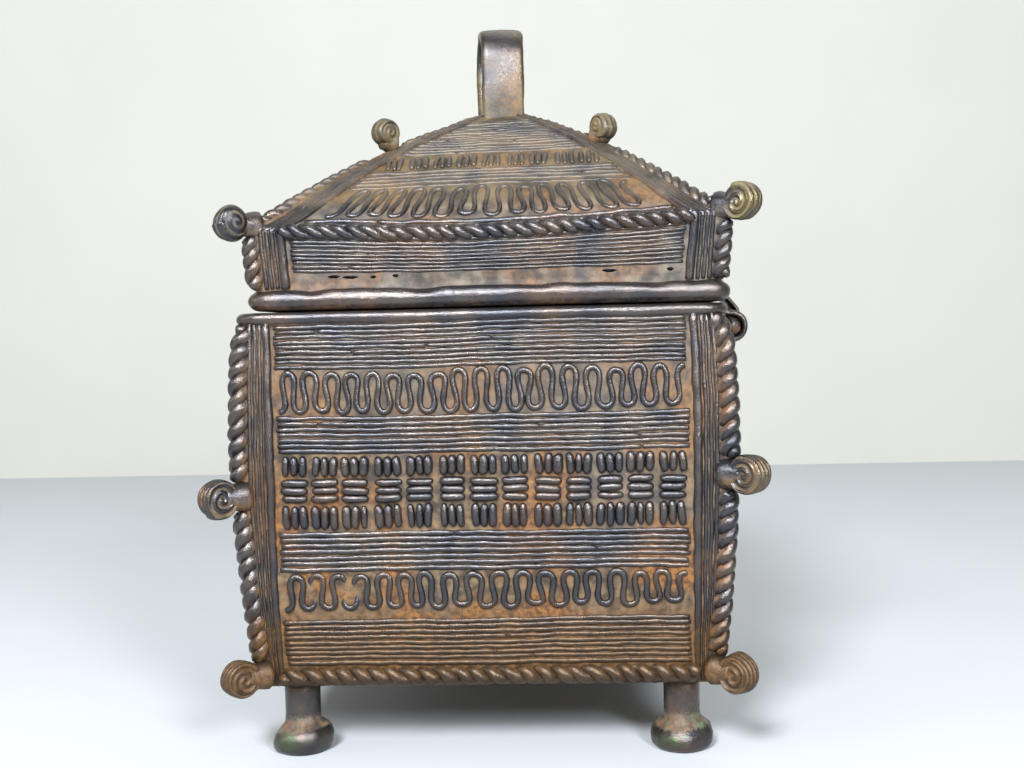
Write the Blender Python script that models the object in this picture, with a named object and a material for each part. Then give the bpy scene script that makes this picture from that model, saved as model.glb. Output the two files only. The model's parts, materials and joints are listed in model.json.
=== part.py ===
"""A small square casket of lost-wax cast brass, with a hinged hip-roofed lid.

The box and the lid are each one casting. Their skins are built from lines that follow the wax
threads of the model: ribs, meanders, basket work and twisted ropes. Lengths are millimetres here,
and become metres when a mesh is made. The front faces -Y, and the feet stand on z = 0.
"""

import math

import bpy
import bmesh
from mathutils import Matrix, Vector

MM = 0.001

# Box: heights above the ground
underside = 14.6
box_top = 89.1
wall = 2.6
floor_thickness = 3.0
rim_height = 2.5

# Box: half widths, measured to the outside of the corner ropes, and how the sides bulge
half_widest = 49.4
side_bulge = 3.4
widest_height = 63.0

# Box: its upper corners draw in to the round corners of the rim
corner_fall = 7.0
corner_draw = 1.3
rim_corner = 5.0
rim_roll = 1.2
rim_angles = (-40, 5, 90)

# Skin: how the ornament sits on the walls
skin_inset = 1.2
rope_width = 3.9
post_ribs = 3
post_rib_pitch = 1.65
rib_relief = 0.5
wire_relief = 0.9
wire_width = 1.2
wire_clearance = 0.25
weave_gap = 0.2
weave_seam = 0.3
rope_relief = 1.7
rope_edge = 1.0
bead_pitch = 4.2
hip_bead_pitch = 5.2
bead_dip = 0.6
front_bead_pitch = 4.5
hidden_bead_pitch = 6.2
two_strands = (0.28, 0.72)
one_strand = (0.5,)
upright_wire = (0.15, 0.85)
lying_wire = (0.12, 0.88)

# Box: tops of the ornament bands, from the bottom rope up
rope_band_top = 18.4
foot_ribs_top = 28.5
plain_band_top = 30.1
lower_meander_top = 38.0
middle_ribs_top = 46.0
weave_low_top = 51.4
weave_middle_top = 56.7
weave_high_top = 61.0
upper_ribs_top = 68.8
upper_meander_top = 77.8

# Lid: it closes on the box with a small gap, and sits a little to the hinge side
lid_gap = 0.3
lid_offset = 1.6
lid_step = 2.3
lid_flare = 0.9
lid_rim_height = 4.2
lid_rim_stand = 0.5
lid_rim_roll = 1.6
lid_rim_angles = (55, 10, -40, -90)
lid_wall_height = 12.9
lid_plain_band = 2.8
lid_plain_dip = 0.3
lid_wall = 2.6
roof_rise = 27.6
roof_crown = 1.9
roof_hollow_corner = 3.0
roof_hollow_shares = (0.12, 0.55, 0.9)
apex_half = 6.6
apex_shift = 1.4
apex_narrowing = 0.45
eave_tilt = 0.016
eave_rope_width = 3.2
eave_rope_relief = 1.3
eave_front_bead_pitch = 3.8
eave_hidden_bead_pitch = 6.2
roof_wire_relief = 0.7
roof_rib_relief = 0.4
roof_weave_relief = 0.6

# Lid: tops of the roof bands, as shares of the way up the slope
roof_margin_top = 0.07
roof_meander_top = 0.27
roof_ribs_top = 0.40
roof_weave_top = 0.52
roof_upper_ribs_top = 0.93

# Wound scroll knobs, each on a stub. Corners go round from the back right one, and the last two
# are the front left and the front right.
knob_radius = 4.1
knob_width = 4.4
knob_edge = 0.9
knob_sides = 8
knob_cover = 3.3
stub_radius = 2.5
stub_length = 7.5
stub_sides = 6
low_knob_out = 2.6
low_knob_height = 17.2
middle_knob_out = 1.9
middle_knob_heights = (55.2, 54.3, 53.1, 56.1)
eave_knob_out = 1.3
eave_knob_rise = 0.75
eave_knob_radius = 3.8
hip_knob_share = 0.57
hip_knob_out = -1.3
hip_knob_radius = 3.3
hip_knob_width = 4.6
hip_knob_rise = 2.6
hip_stub_length = 4.6
hip_stub_radius = 2.0

# Feet
leg_inset = 7.4
leg_radius = 3.7
pad_radius = 6.4
pad_height = 5.6
pad_sole = 0.8
pad_shoulder = 0.94
pad_belly_levels = (0.3, 0.75)
foot_sides = 10

# Strap handle: it spans the depth of the casket, a little twisted, and its hole runs across
strap_width = 10.0
strap_thickness = 2.5
strap_span = 15.6
strap_height = 20.7
strap_turn = 9.0
strap_root = 3.0
arch_steps = 8

# Hinge at the middle of the +X side
pin_radius = 1.9
pin_clearance = 0.3
pin_edge = 0.5
hinge_strap = 1.5
hinge_to_skin = 0.5
hinge_drop = 4.8
knuckle_length = 13.0
staple_width = 5.0
staple_slack = 0.4
hinge_side_gap = 0.4
pin_overhang = 1.0
tongue_lift = 0.9
tongue_thickness = 3.1
pin_sides = 16

# Values worked out from those above
post_width = rope_width + post_ribs * post_rib_pitch
box_rim_start = box_top - rim_height
leg_place = half_widest - side_bulge - leg_inset
hinge_height = box_top - hinge_drop
lid_half_rim = half_widest - lid_step
lid_half_eave = lid_half_rim + lid_flare
lid_bottom = box_top + lid_gap
lid_wall_start = lid_bottom + lid_rim_height
eave_height = lid_wall_start + lid_wall_height
roof_slope = math.hypot(roof_rise, lid_half_eave - apex_half)
lid_reach = lid_wall_height + roof_slope
pin_hole = pin_radius + pin_clearance
knuckle_radius = pin_hole + hinge_strap
pivot_x = half_widest + hinge_to_skin + knuckle_radius
hinge_reach = pivot_x + knuckle_radius
middle_knob_reach = half_widest + middle_knob_out
knob_flat = knob_radius * math.cos(math.pi / knob_sides)
knob_reach = middle_knob_reach + (knob_flat + knob_width / 2 - knob_edge) / math.sqrt(2)
centring = (knob_reach - hinge_reach) / 2


def blend(low, high, share):
    """The value that lies a share of the way from low to high."""
    return low + (high - low) * share


class Skin:
    """Gathers points and faces. Points at the same place become one vertex."""

    def __init__(self):
        self.points = []
        self.faces = []
        self.found = {}

    def point(self, place):
        key = tuple(round(value * 2000) for value in place)
        if key not in self.found:
            self.found[key] = len(self.points)
            self.points.append(Vector(place))
        return self.found[key]

    def face(self, places):
        corners = []
        for place in places:
            corner = self.point(place)
            if corner not in corners:
                corners.append(corner)
        if len(corners) > 2:
            self.faces.append(corners)

    def join_lines(self, first, second):
        """Closes the strip between two lines of (measure, place), both in rising measure."""
        i = 0
        j = 0
        while i < len(first) - 1 or j < len(second) - 1:
            next_i = first[i + 1][0] if i < len(first) - 1 else math.inf
            next_j = second[j + 1][0] if j < len(second) - 1 else math.inf
            if abs(next_i - next_j) < 1e-6:
                self.face([first[i][1], first[i + 1][1], second[j + 1][1], second[j][1]])
                i += 1
                j += 1
            elif next_i < next_j:
                self.face([first[i][1], first[i + 1][1], second[j][1]])
                i += 1
            else:
                self.face([first[i][1], second[j + 1][1], second[j][1]])
                j += 1

    def join_rings(self, first, second):
        """Closes the strip between two rings of places around the z axis."""
        self.join_lines(ring_by_angle(first), ring_by_angle(second))

    def cap(self, ring):
        """Closes a ring with a fan around its middle."""
        ordered = [place for _, place in ring_by_angle(ring)]
        middle = sum((Vector(place) for place in ordered[:-1]), Vector()) / (len(ordered) - 1)
        for near, far in zip(ordered, ordered[1:]):
            self.face([near, far, middle])

    def mesh(self, name):
        form = bmesh.new()
        corners = [form.verts.new(point * MM) for point in self.points]
        for face in self.faces:
            form.faces.new([corners[index] for index in face])
        form.normal_update()
        bmesh.ops.triangulate(form, faces=form.faces[:], ngon_method="EAR_CLIP")
        bmesh.ops.recalc_face_normals(form, faces=form.faces[:])
        mesh = bpy.data.meshes.new(name)
        form.to_mesh(mesh)
        form.free()
        return mesh


def ring_by_angle(ring):
    """The ring's places with their angles, from the corner at -X -Y round to it again."""
    start = -0.75 * math.pi - 1e-4
    marked = []
    for place in ring:
        angle = (math.atan2(place[1], place[0]) - start) % math.tau
        marked.append((angle, tuple(place)))
    marked.sort()
    first_angle, first_place = marked[0]
    return marked + [(first_angle + math.tau, first_place)]


def rounded_square(half, height, radius, steps=2):
    """A square ring with round corners."""
    ring = []
    for corner in range(4):
        turn = corner * math.pi / 2
        for step in range(steps + 1):
            angle = turn + step * math.pi / 2 / steps
            middle = math.sqrt(2) * (half - radius)
            across = turn + math.pi / 4
            ring.append((
                middle * math.cos(across) + radius * math.cos(angle),
                middle * math.sin(across) + radius * math.sin(angle),
                height,
            ))
    return ring


def on_side(side, across, depth, height):
    """A place on one of the four sides: 0 is the front, and they go round by way of +X."""
    turn = side * math.pi / 2
    x = across * math.cos(turn) + depth * math.sin(turn)
    y = across * math.sin(turn) - depth * math.cos(turn)
    return (x, y, height)


class BoxSurface:
    """The box's walls: s is the height above the ground."""

    start = underside
    end = box_rim_start
    bead_pitch = bead_pitch
    levels = (underside, foot_ribs_top, middle_ribs_top, upper_ribs_top, box_rim_start)

    def knobs(self, corner):
        """Where scrolls cover a corner's rope, and how far to each side."""
        return (low_knob_height, knob_cover), (middle_knob_heights[corner], knob_cover)

    def drawn_in(self, s):
        """How far the sides have drawn in from their widest."""
        return side_bulge * ((s - widest_height) / (widest_height - underside)) ** 2

    def half(self, s):
        return half_widest - self.drawn_in(s)

    def post(self, s):
        """The posts narrow as the sides draw in, so the panels keep straight edges."""
        return 1.0 - self.drawn_in(s) / post_width

    def corner_cut(self, s):
        share = max(0.0, (s - box_rim_start + corner_fall) / corner_fall)
        return corner_draw * share * share * self.post(s)

    def place(self, side, across, s, d):
        return on_side(side, across, self.half(s) - skin_inset + d, s)


class LidSurface:
    """The lid's skin: s goes up its wall and then up the slope of its roof."""

    start = 0.0
    end = lid_reach
    bead_pitch = hip_bead_pitch
    levels = (0.0, lid_wall_height) + tuple(
        lid_wall_height + roof_slope * share for share in (0.5, 1.0))

    def knobs(self, corner):
        """Where scrolls cover a hip's rope, and how far to each side."""
        hip = lid_wall_height + roof_slope * hip_knob_share
        return (lid_wall_height, knob_cover), (hip, knob_cover)

    def corner_cut(self, s):
        return 0.0

    def slope_share(self, s):
        return max(0.0, (s - lid_wall_height) / roof_slope)

    def half(self, s):
        if s <= lid_wall_height:
            return blend(lid_half_rim, lid_half_eave, s / lid_wall_height)
        return blend(lid_half_eave, apex_half, self.slope_share(s))

    def height(self, s):
        if s <= lid_wall_height:
            return lid_wall_start + s
        share = self.slope_share(s)
        return eave_height + roof_rise * share + roof_crown * math.sin(math.pi * share)

    def post(self, s):
        return blend(1.0, apex_narrowing, self.slope_share(s))

    def normal(self, s):
        """How far out and up the skin faces. It turns over the width of the eave rope."""
        share = min(1.0, max(0.0, 0.5 + (s - lid_wall_height) / eave_rope_width))
        outward = blend(1.0, roof_rise / roof_slope, share)
        upward = blend(0.0, (lid_half_eave - apex_half) / roof_slope, share)
        size = math.hypot(outward, upward)
        return outward / size, upward / size

    def place(self, side, across, s, d):
        outward, upward = self.normal(s)
        depth = self.half(s) + (d - skin_inset) * outward
        height = self.height(s) + (d - skin_inset) * upward
        x, y, height = on_side(side, across, depth, height)
        rising = min(1.0, max(0.0, s / lid_wall_height))
        share = self.slope_share(s)
        return (x + apex_shift * share, y, height + eave_tilt * rising * x)


class Panel:
    """One side between its two posts, filled band by band from the bottom up."""

    def __init__(self, skin, surface, side):
        self.skin = skin
        self.surface = surface
        self.side = side
        self.left = []
        self.right = []
        self.line = None
        self.add_line(surface.start, [(-1.0, 0.0), (1.0, 0.0)])

    def half(self, s):
        return self.surface.half(s) - post_width * self.surface.post(s)

    def place(self, u, s, d):
        return self.surface.place(self.side, u * self.half(s), s, d)

    def note_ends(self, s, d_left, d_right):
        self.left.append((s, self.place(-1.0, s, d_left)))
        self.right.append((s, self.place(1.0, s, d_right)))

    def add_line(self, s, marks, closed=True):
        """Adds a line across the panel, given as marks of (u, d)."""
        line = [(u, self.place(u, s, d)) for u, d in marks]
        if self.line and closed:
            self.skin.join_lines(self.line, line)
        self.line = line
        self.top = s
        self.note_ends(s, marks[0][1], marks[-1][1])

    def plain(self, top, d=0.0):
        self.add_line(top, [(-1.0, d), (1.0, d)])

    def ribs(self, top, count, relief=rib_relief):
        """Wax threads laid across the panel, one beside the other."""
        bottom = self.top
        for rib in range(count):
            self.plain(blend(bottom, top, (rib + 0.5) / count), relief)
            self.plain(blend(bottom, top, (rib + 1) / count))

    def rope(self, top, pitch, rows, relief=rope_relief):
        """A twisted rope along the panel: its strands lean, so the rows are half a bead apart."""
        bottom = self.top
        beads = round(2 * self.half(blend(bottom, top, 0.5)) / pitch)
        for row, share in enumerate(rows):
            marks = []
            for step in range(2 * beads + 1):
                high = (step + row) % 2
                marks.append((-1.0 + step / beads, relief - bead_dip * high))
            self.add_line(blend(bottom, top, share), marks)
        self.plain(top)

    def meander(self, top, runs, relief=wire_relief):
        """A wire that winds up and down along the band."""
        bottom = self.top
        middle = blend(bottom, top, 0.5)
        half = self.half(middle)
        reach = (top - bottom) / 2 - wire_width / 2 - wire_clearance
        path = meander_path(half, reach, runs)
        lower = offset_path(path, -wire_width / 2)
        upper = offset_path(path, wire_width / 2)
        rows = []
        for points, d in ((lower, 0.0), (path, relief), (upper, 0.0)):
            rows.append([self.place(x / half, middle + v, d) for x, v in points])
            self.note_ends(middle + points[0][1], d, d)
            self.right[-1] = (middle + points[-1][1], rows[-1][-1])
        self.skin.face([place for _, place in self.line] + rows[0][::-1])
        for below, above in zip(rows, rows[1:]):
            for step in range(len(path) - 1):
                self.skin.face([below[step], below[step + 1], above[step + 1], above[step]])
        self.line = None
        self.add_line(top, [(-1.0, 0.0), (1.0, 0.0)])
        self.skin.face(rows[2] + [place for _, place in self.line][::-1])

    def basket(self, rows, blocks, relief=wire_relief):
        """Rows of basket work, given as (top, upright): each block is a wire, upright or lying."""
        cells = []
        edges = [-1.0]
        for block in range(blocks):
            near = -1.0 + 2 * (block + weave_gap / 2) / blocks
            far = -1.0 + 2 * (block + 1 - weave_gap / 2) / blocks
            cells.append((near, far))
            edges += [near, far]
        edges.append(1.0)
        marks = [(edge, 0.0) for edge in edges]
        self.add_line(self.top + weave_seam, marks)
        for row, (top, upright) in enumerate(rows):
            low = self.top
            high = top - weave_seam if row == len(rows) - 1 else top
            below = dict(self.line)
            self.add_line(high, marks, closed=False)
            above = dict(self.line)
            for near, far in zip(edges[0::2], edges[1::2]):
                self.skin.face([below[near], below[far], above[far], above[near]])
            for near, far in cells:
                self.bundle(below, above, near, far, low, high, upright, relief)
        self.plain(rows[-1][0])

    def bundle(self, below, above, near, far, low, high, upright, relief):
        """One wire of a block: a ridge with sloping ends."""
        if upright:
            middle = blend(near, far, 0.5)
            foot, head = [self.place(middle, blend(low, high, share), relief)
                          for share in upright_wire]
            self.skin.face([below[near], below[far], foot])
            self.skin.face([below[far], above[far], head, foot])
            self.skin.face([above[far], above[near], head])
            self.skin.face([above[near], below[near], foot, head])
            return
        centre = blend(low, high, 0.5)
        start, end = [self.place(blend(near, far, share), centre, relief) for share in lying_wire]
        self.skin.face([below[near], below[far], end, start])
        self.skin.face([below[far], above[far], end])
        self.skin.face([above[far], above[near], start, end])
        self.skin.face([above[near], below[near], start])


def meander_path(half, reach, runs):
    """Points of (x, v) along a winding wire from -half to half."""
    pitch = 2 * half / runs
    path = [(-half, -reach)]
    for run in range(runs):
        x = -half + (run + 0.5) * pitch
        rising = 1 if run % 2 == 0 else -1
        path.append((x, -rising * reach))
        path.append((x, rising * reach))
    path.append((half, reach if runs % 2 else -reach))
    return path


def offset_path(path, distance):
    """The path moved sideways: left of its way for a positive distance."""
    moved = []
    for index, (x, v) in enumerate(path):
        before = path[max(0, index - 1)]
        after = path[min(len(path) - 1, index + 1)]
        ways = []
        for near, far in ((before, (x, v)), ((x, v), after)):
            way = Vector((far[0] - near[0], far[1] - near[1]))
            if way.length > 0:
                ways.append(way.normalized())
        sides = [Vector((-way.y, way.x)) for way in ways]
        if len(sides) == 1:
            moved.append((x, v + distance))
            continue
        mitre = (sides[0] + sides[1]) / (1 + sides[0].dot(sides[1]))
        moved.append((x + mitre.x * distance, v + mitre.y * distance))
    return moved


def fill_post(skin, surface, side, hand, boundary):
    """The upright ribs between a panel's end and the corner rope. Returns the rope's edge."""
    line = boundary
    steps = 2 * post_ribs
    for step in range(1, steps + 1):
        inward = blend(post_width, rope_width, step / steps)
        relief = rib_relief if step % 2 else 0.0
        new_line = []
        for s in surface.levels:
            across = hand * (surface.half(s) - inward * surface.post(s))
            new_line.append((s, surface.place(side, across, s, relief)))
        skin.join_lines(line, new_line)
        line = new_line
    return line


def fill_corner(skin, surface, side, edge, next_edge):
    """The twisted rope on the corner between a side and the next one. Returns its two strands."""
    strands = []
    beads = round((surface.end - surface.start) / surface.bead_pitch)
    knobs = surface.knobs((side + 3) % 4)
    for strand, (at_side, hand) in enumerate(((side, 1), ((side + 1) % 4, -1))):
        marks = [(knob, bead_dip) for knob, cover in knobs]
        for step in range(2 * beads + 1):
            s = blend(surface.start, surface.end, step / (2 * beads))
            at_end = step in (0, 2 * beads)
            if at_end or all(abs(s - knob) > cover for knob, cover in knobs):
                marks.append((s, bead_dip * ((step + strand) % 2)))
        line = []
        for s, dip in sorted(marks):
            reach = surface.half(s) - (rope_edge + dip) * surface.post(s) - surface.corner_cut(s)
            bulge = skin_inset - dip * surface.post(s)
            line.append((s, surface.place(at_side, hand * reach, s, bulge)))
        strands.append(line)
    skin.join_lines(edge, strands[0])
    skin.join_lines(strands[0], strands[1])
    skin.join_lines(strands[1], next_edge)
    return strands


def wrap(skin, surface, panels):
    """Joins four filled panels by their posts and corner ropes. Returns the end rings."""
    rights = []
    lefts = []
    for panel in panels:
        rights.append(fill_post(skin, surface, panel.side, 1, panel.right))
        lefts.append(fill_post(skin, surface, panel.side, -1, panel.left))
    lines = [line for panel in panels for line in (panel.left, panel.right)]
    for side in range(4):
        lines += fill_corner(skin, surface, side, rights[side], lefts[(side + 1) % 4])
    rings = []
    for end, s in ((0, surface.start), (-1, surface.end)):
        ring = [line[end][1] for line in lines]
        for side in range(4):
            for step in range(1, 2 * post_ribs + 1):
                inward = blend(post_width, rope_width, step / (2 * post_ribs))
                across = surface.half(s) - inward * surface.post(s)
                relief = rib_relief if step % 2 else 0.0
                ring += [surface.place(side, hand * across, s, relief) for hand in (-1, 1)]
        rings.append(ring)
    return rings


def fill_box_panel(skin, surface, side):
    """The front has every band in full. The other sides repeat them, plainer."""
    front = side == 0
    panel = Panel(skin, surface, side)
    runs, blocks, wide_ribs, narrow_ribs = (30, 14, 8, 5) if front else (8, 4, 3, 2)
    if front:
        panel.rope(rope_band_top, front_bead_pitch, two_strands)
    else:
        panel.rope(rope_band_top, hidden_bead_pitch, one_strand)
    panel.ribs(foot_ribs_top, wide_ribs)
    panel.plain(plain_band_top)
    panel.meander(lower_meander_top, runs)
    panel.ribs(middle_ribs_top, narrow_ribs)
    rows = ((weave_low_top, True), (weave_middle_top, False), (weave_high_top, True))
    panel.basket(rows, blocks)
    panel.ribs(upper_ribs_top, narrow_ribs)
    panel.meander(upper_meander_top, runs)
    panel.ribs(box_rim_start, wide_ribs)
    return panel


def fill_lid_panel(skin, surface, side):
    """The lid's wall, its eave rope and its slope."""
    front = side == 0
    panel = Panel(skin, surface, side)

    def up(share):
        return lid_wall_height + roof_slope * share

    rope_half = eave_rope_width / 2
    rope_top = lid_wall_height + rope_half
    runs, blocks, wall_ribs, low_ribs, high_ribs = (22, 7, 7, 3, 5) if front else (6, 0, 3, 2, 3)
    panel.plain(lid_plain_band, -lid_plain_dip)
    panel.ribs(lid_wall_height - rope_half, wall_ribs)
    if front:
        panel.rope(rope_top, eave_front_bead_pitch, two_strands, eave_rope_relief)
    else:
        panel.rope(rope_top, eave_hidden_bead_pitch, one_strand, eave_rope_relief)
    panel.plain(up(roof_margin_top))
    panel.meander(up(roof_meander_top), runs, roof_wire_relief)
    panel.ribs(up(roof_ribs_top), low_ribs, roof_rib_relief)
    if front:
        panel.basket(((up(roof_weave_top), True),), blocks, roof_weave_relief)
    else:
        panel.plain(up(roof_weave_top))
    panel.ribs(up(roof_upper_ribs_top), high_ribs, roof_rib_relief)
    panel.plain(surface.end)
    return panel


def rolled_rim(half, roll, low, high, angles):
    """Rings round a rolled rim, at angles in degrees from its outermost line."""
    rings = []
    for angle in angles:
        outward = math.cos(math.radians(angle)) - 1.0
        upward = 0.5 + 0.5 * math.sin(math.radians(angle))
        rings.append(rounded_square(half + roll * outward, blend(low, high, upward), rim_corner))
    return rings


def close_box(skin, surface, bottom_ring, top_ring):
    """The rolled rim, the hollow and the underside of the box."""
    half = surface.half(box_top)
    rim = rolled_rim(half, rim_roll, box_rim_start, box_top, rim_angles)
    rim.append(rounded_square(half - skin_inset - wall, box_top, rim_corner))
    floor_height = underside + floor_thickness
    floor_half = surface.half(floor_height) - skin_inset - wall
    floor = rounded_square(floor_half, floor_height, rim_corner)
    rings = [top_ring] + rim + [floor]
    for lower, upper in zip(rings, rings[1:]):
        skin.join_rings(lower, upper)
    skin.cap(floor)
    skin.cap(bottom_ring)


def close_lid(skin, surface, bottom_ring, top_ring):
    """The lid's rolled rim, the hollow under its roof and the platform at the apex."""
    inner = lid_half_rim - skin_inset - lid_wall
    rim = rolled_rim(lid_half_rim + lid_rim_stand, lid_rim_roll, lid_bottom, lid_wall_start,
                     lid_rim_angles)
    rim.append(rounded_square(inner, lid_bottom, rim_corner))
    rim.append(rounded_square(inner, lid_wall_start, rim_corner))
    down = lid_wall * roof_slope / (lid_half_eave - apex_half) + skin_inset
    hollow = []
    for share in roof_hollow_shares:
        s = lid_wall_height + roof_slope * share
        ring = rounded_square(surface.half(s) - skin_inset, surface.height(s) - down,
                              roof_hollow_corner)
        hollow.append([(x + apex_shift * share, y, z) for x, y, z in ring])
    rings = [bottom_ring] + rim + hollow
    for lower, upper in zip(rings, rings[1:]):
        skin.join_rings(lower, upper)
    skin.cap(hollow[-1])
    skin.cap(top_ring)


def turned(name, profile, sides):
    """A closed form turned about the z axis, from a profile of (radius, height)."""
    form = bmesh.new()
    rings = []
    for radius, height in profile:
        ring = []
        for side in range(sides):
            angle = math.tau * (side + 0.5) / sides
            place = (radius * math.cos(angle) * MM, radius * math.sin(angle) * MM, height * MM)
            ring.append(form.verts.new(place))
        rings.append(ring)
    for lower, upper in zip(rings, rings[1:]):
        for side in range(sides):
            after = (side + 1) % sides
            form.faces.new([lower[side], lower[after], upper[after], upper[side]])
    form.faces.new(rings[0][::-1])
    form.faces.new(rings[-1])
    return finish_form(form, name)


def tube(name, inner, outer, length, sides):
    """A ring with a hole, along the z axis and centred on it."""
    form = bmesh.new()
    rings = []
    for radius, height in ((inner, -1), (outer, -1), (outer, 1), (inner, 1)):
        ring = []
        for side in range(sides):
            angle = math.tau * (side + 0.5) / sides
            ring.append(form.verts.new((radius * math.cos(angle) * MM, radius * math.sin(angle) * MM,
                                        height * length / 2 * MM)))
        rings.append(ring)
    for lower, upper in zip(rings, rings[1:] + rings[:1]):
        for side in range(sides):
            after = (side + 1) % sides
            form.faces.new([lower[side], lower[after], upper[after], upper[side]])
    return finish_form(form, name)


def plate(name, outline, thickness):
    """A flat form with an outline of (x, y), as thick as given and centred on z = 0."""
    form = bmesh.new()
    low = [form.verts.new((x * MM, y * MM, -thickness / 2 * MM)) for x, y in outline]
    high = [form.verts.new((x * MM, y * MM, thickness / 2 * MM)) for x, y in outline]
    form.faces.new(low[::-1])
    form.faces.new(high)
    for index in range(len(outline)):
        after = (index + 1) % len(outline)
        form.faces.new([low[index], low[after], high[after], high[index]])
    return finish_form(form, name)


def finish_form(form, name):
    form.normal_update()
    bmesh.ops.triangulate(form, faces=form.faces[:])
    bmesh.ops.recalc_face_normals(form, faces=form.faces[:])
    mesh = bpy.data.meshes.new(name)
    form.to_mesh(mesh)
    form.free()
    return add_object(name, mesh)


def add_object(name, mesh):
    thing = bpy.data.objects.new(name, mesh)
    bpy.context.scene.collection.objects.link(thing)
    return thing


def put(thing, turn, x, y, z):
    """Turns a form and moves it to its place, in its mesh."""
    thing.data.transform(Matrix.Translation(Vector((x, y, z)) * MM) @ turn)
    return thing


def unite(base, additions):
    """Casts the additions in one with the base."""
    group = bpy.data.collections.new(base.name + "_additions")
    bpy.context.scene.collection.children.link(group)
    for thing in additions:
        bpy.context.scene.collection.objects.unlink(thing)
        group.objects.link(thing)
    joint = base.modifiers.new("Cast in one", "BOOLEAN")
    joint.operation = "UNION"
    joint.solver = "EXACT"
    joint.operand_type = "COLLECTION"
    joint.collection = group
    graph = bpy.context.evaluated_depsgraph_get()
    joined = bpy.data.meshes.new_from_object(base.evaluated_get(graph))
    base.modifiers.clear()
    base.data = joined
    for thing in additions:
        bpy.data.objects.remove(thing)
    bpy.data.collections.remove(group)


def scroll_knob(corner, radius, width, reach, height, middle_x=0.0, tilt=0.0):
    """A wound scroll on a corner: its axis lies level, square to the corner's diagonal."""
    diagonal = math.pi / 4 + corner * math.pi / 2
    x = reach * math.sqrt(2) * math.cos(diagonal)
    y = reach * math.sqrt(2) * math.sin(diagonal)
    centre = (middle_x + x, y, height + tilt * x)
    edge = min(knob_edge, width / 4)
    profile = [(radius - edge, -width / 2), (radius, edge - width / 2),
               (radius, width / 2 - edge), (radius - edge, width / 2)]
    knob = turned("knob", profile, knob_sides)
    turn = Matrix.Rotation(diagonal, 4, "Z") @ Matrix.Rotation(math.pi / 2, 4, "X")
    return put(knob, turn, *centre), diagonal, centre


def corner_knob(*sizes):
    """A scroll whose stub runs level into the corner."""
    knob, diagonal, centre = scroll_knob(*sizes)
    profile = [(stub_radius, 0.0), (stub_radius, stub_length)]
    stub = turned("stub", profile, stub_sides)
    inward = Matrix.Rotation(diagonal, 4, "Z") @ Matrix.Rotation(-math.pi / 2, 4, "Y")
    return [knob, put(stub, inward, *centre)]


def ridge_knob(*sizes):
    """A scroll whose stub runs down into the hip below it."""
    knob, _, centre = scroll_knob(*sizes)
    profile = [(hip_stub_radius, -hip_stub_length), (hip_stub_radius, 0.0)]
    return [knob, put(turned("stub", profile, stub_sides), Matrix.Identity(4), *centre)]


def foot(x, y):
    """A leg and its squashed pad, turned in one."""
    belly_low, belly_high = [pad_height * level for level in pad_belly_levels]
    profile = [(pad_radius * pad_sole, 0.0), (pad_radius, belly_low),
               (pad_radius * pad_shoulder, belly_high), (leg_radius, pad_height),
               (leg_radius, underside + floor_thickness / 2)]
    return put(turned("foot", profile, foot_sides), Matrix.Identity(4), x, y, 0.0)


def arc(radius, start, end, steps):
    """Points of (x, y) on an arc, by its angles in degrees."""
    points = []
    for step in range(steps + 1):
        angle = math.radians(blend(start, end, step / steps))
        points.append((radius * math.cos(angle), radius * math.sin(angle)))
    return points


def handle(base_height):
    """The strap handle: an arch seen from the side, extruded across the casket."""
    outer = strap_span / 2
    inner = outer - strap_thickness
    rise = strap_height - outer
    outline = [(outer, -strap_root)]
    outline += [(y, rise + z) for y, z in arc(outer, 0, 180, arch_steps)]
    outline += [(-outer, -strap_root), (-inner, -strap_root)]
    outline += [(y, rise + z) for y, z in arc(inner, 180, 0, arch_steps)]
    outline += [(inner, -strap_root)]
    strap = plate("strap", outline, strap_width)
    stand = Matrix(((0, 0, 1, 0), (1, 0, 0, 0), (0, 1, 0, 0), (0, 0, 0, 1)))
    turn = Matrix.Rotation(math.radians(strap_turn), 4, "Z") @ stand
    return put(strap, turn, lid_offset + apex_shift, 0.0, base_height)


# A hinge form is drawn with x outward and y up, then stood up so that its thickness runs along Y.
STAND = Matrix.Rotation(math.pi / 2, 4, "X")


def staple(y):
    """A strap bent round the pin, with its ends in the wall of the box."""
    back = -(pivot_x - half_widest + skin_inset + wall / 2)
    spread = min(knuckle_radius, hinge_drop) + staple_slack
    outline = [(back, spread)] + arc(knuckle_radius, 90, -90, pin_sides // 2) + [(back, -spread)]
    outline += [(back, hinge_strap - spread)] + arc(pin_hole, -90, 90, pin_sides // 2)
    outline += [(back, spread - hinge_strap)]
    return put(plate("staple", outline, staple_width), STAND, pivot_x, y, hinge_height)


def knuckle():
    """The lid's eye on the pin and the tongue that carries it, above the rim of the box."""
    eye = tube("eye", pin_hole, knuckle_radius, knuckle_length, pin_sides)
    back = lid_half_rim + lid_offset - skin_inset - lid_wall / 2 - pivot_x
    low = hinge_drop + lid_gap + tongue_lift
    high = low + tongue_thickness
    over_pin = blend(pin_hole, knuckle_radius, 0.3)
    outline = [(back, low), (-knuckle_radius * 0.5, low), (-knuckle_radius * 0.4, over_pin),
               (knuckle_radius * 0.5, over_pin), (knuckle_radius * 0.86, knuckle_radius * 0.5),
               (knuckle_radius * 0.45, blend(low, high, 0.7)), (0.0, high), (back, high)]
    tongue = plate("tongue", outline, knuckle_length)
    return [put(thing, STAND, pivot_x, 0.0, hinge_height) for thing in (eye, tongue)]


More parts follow.
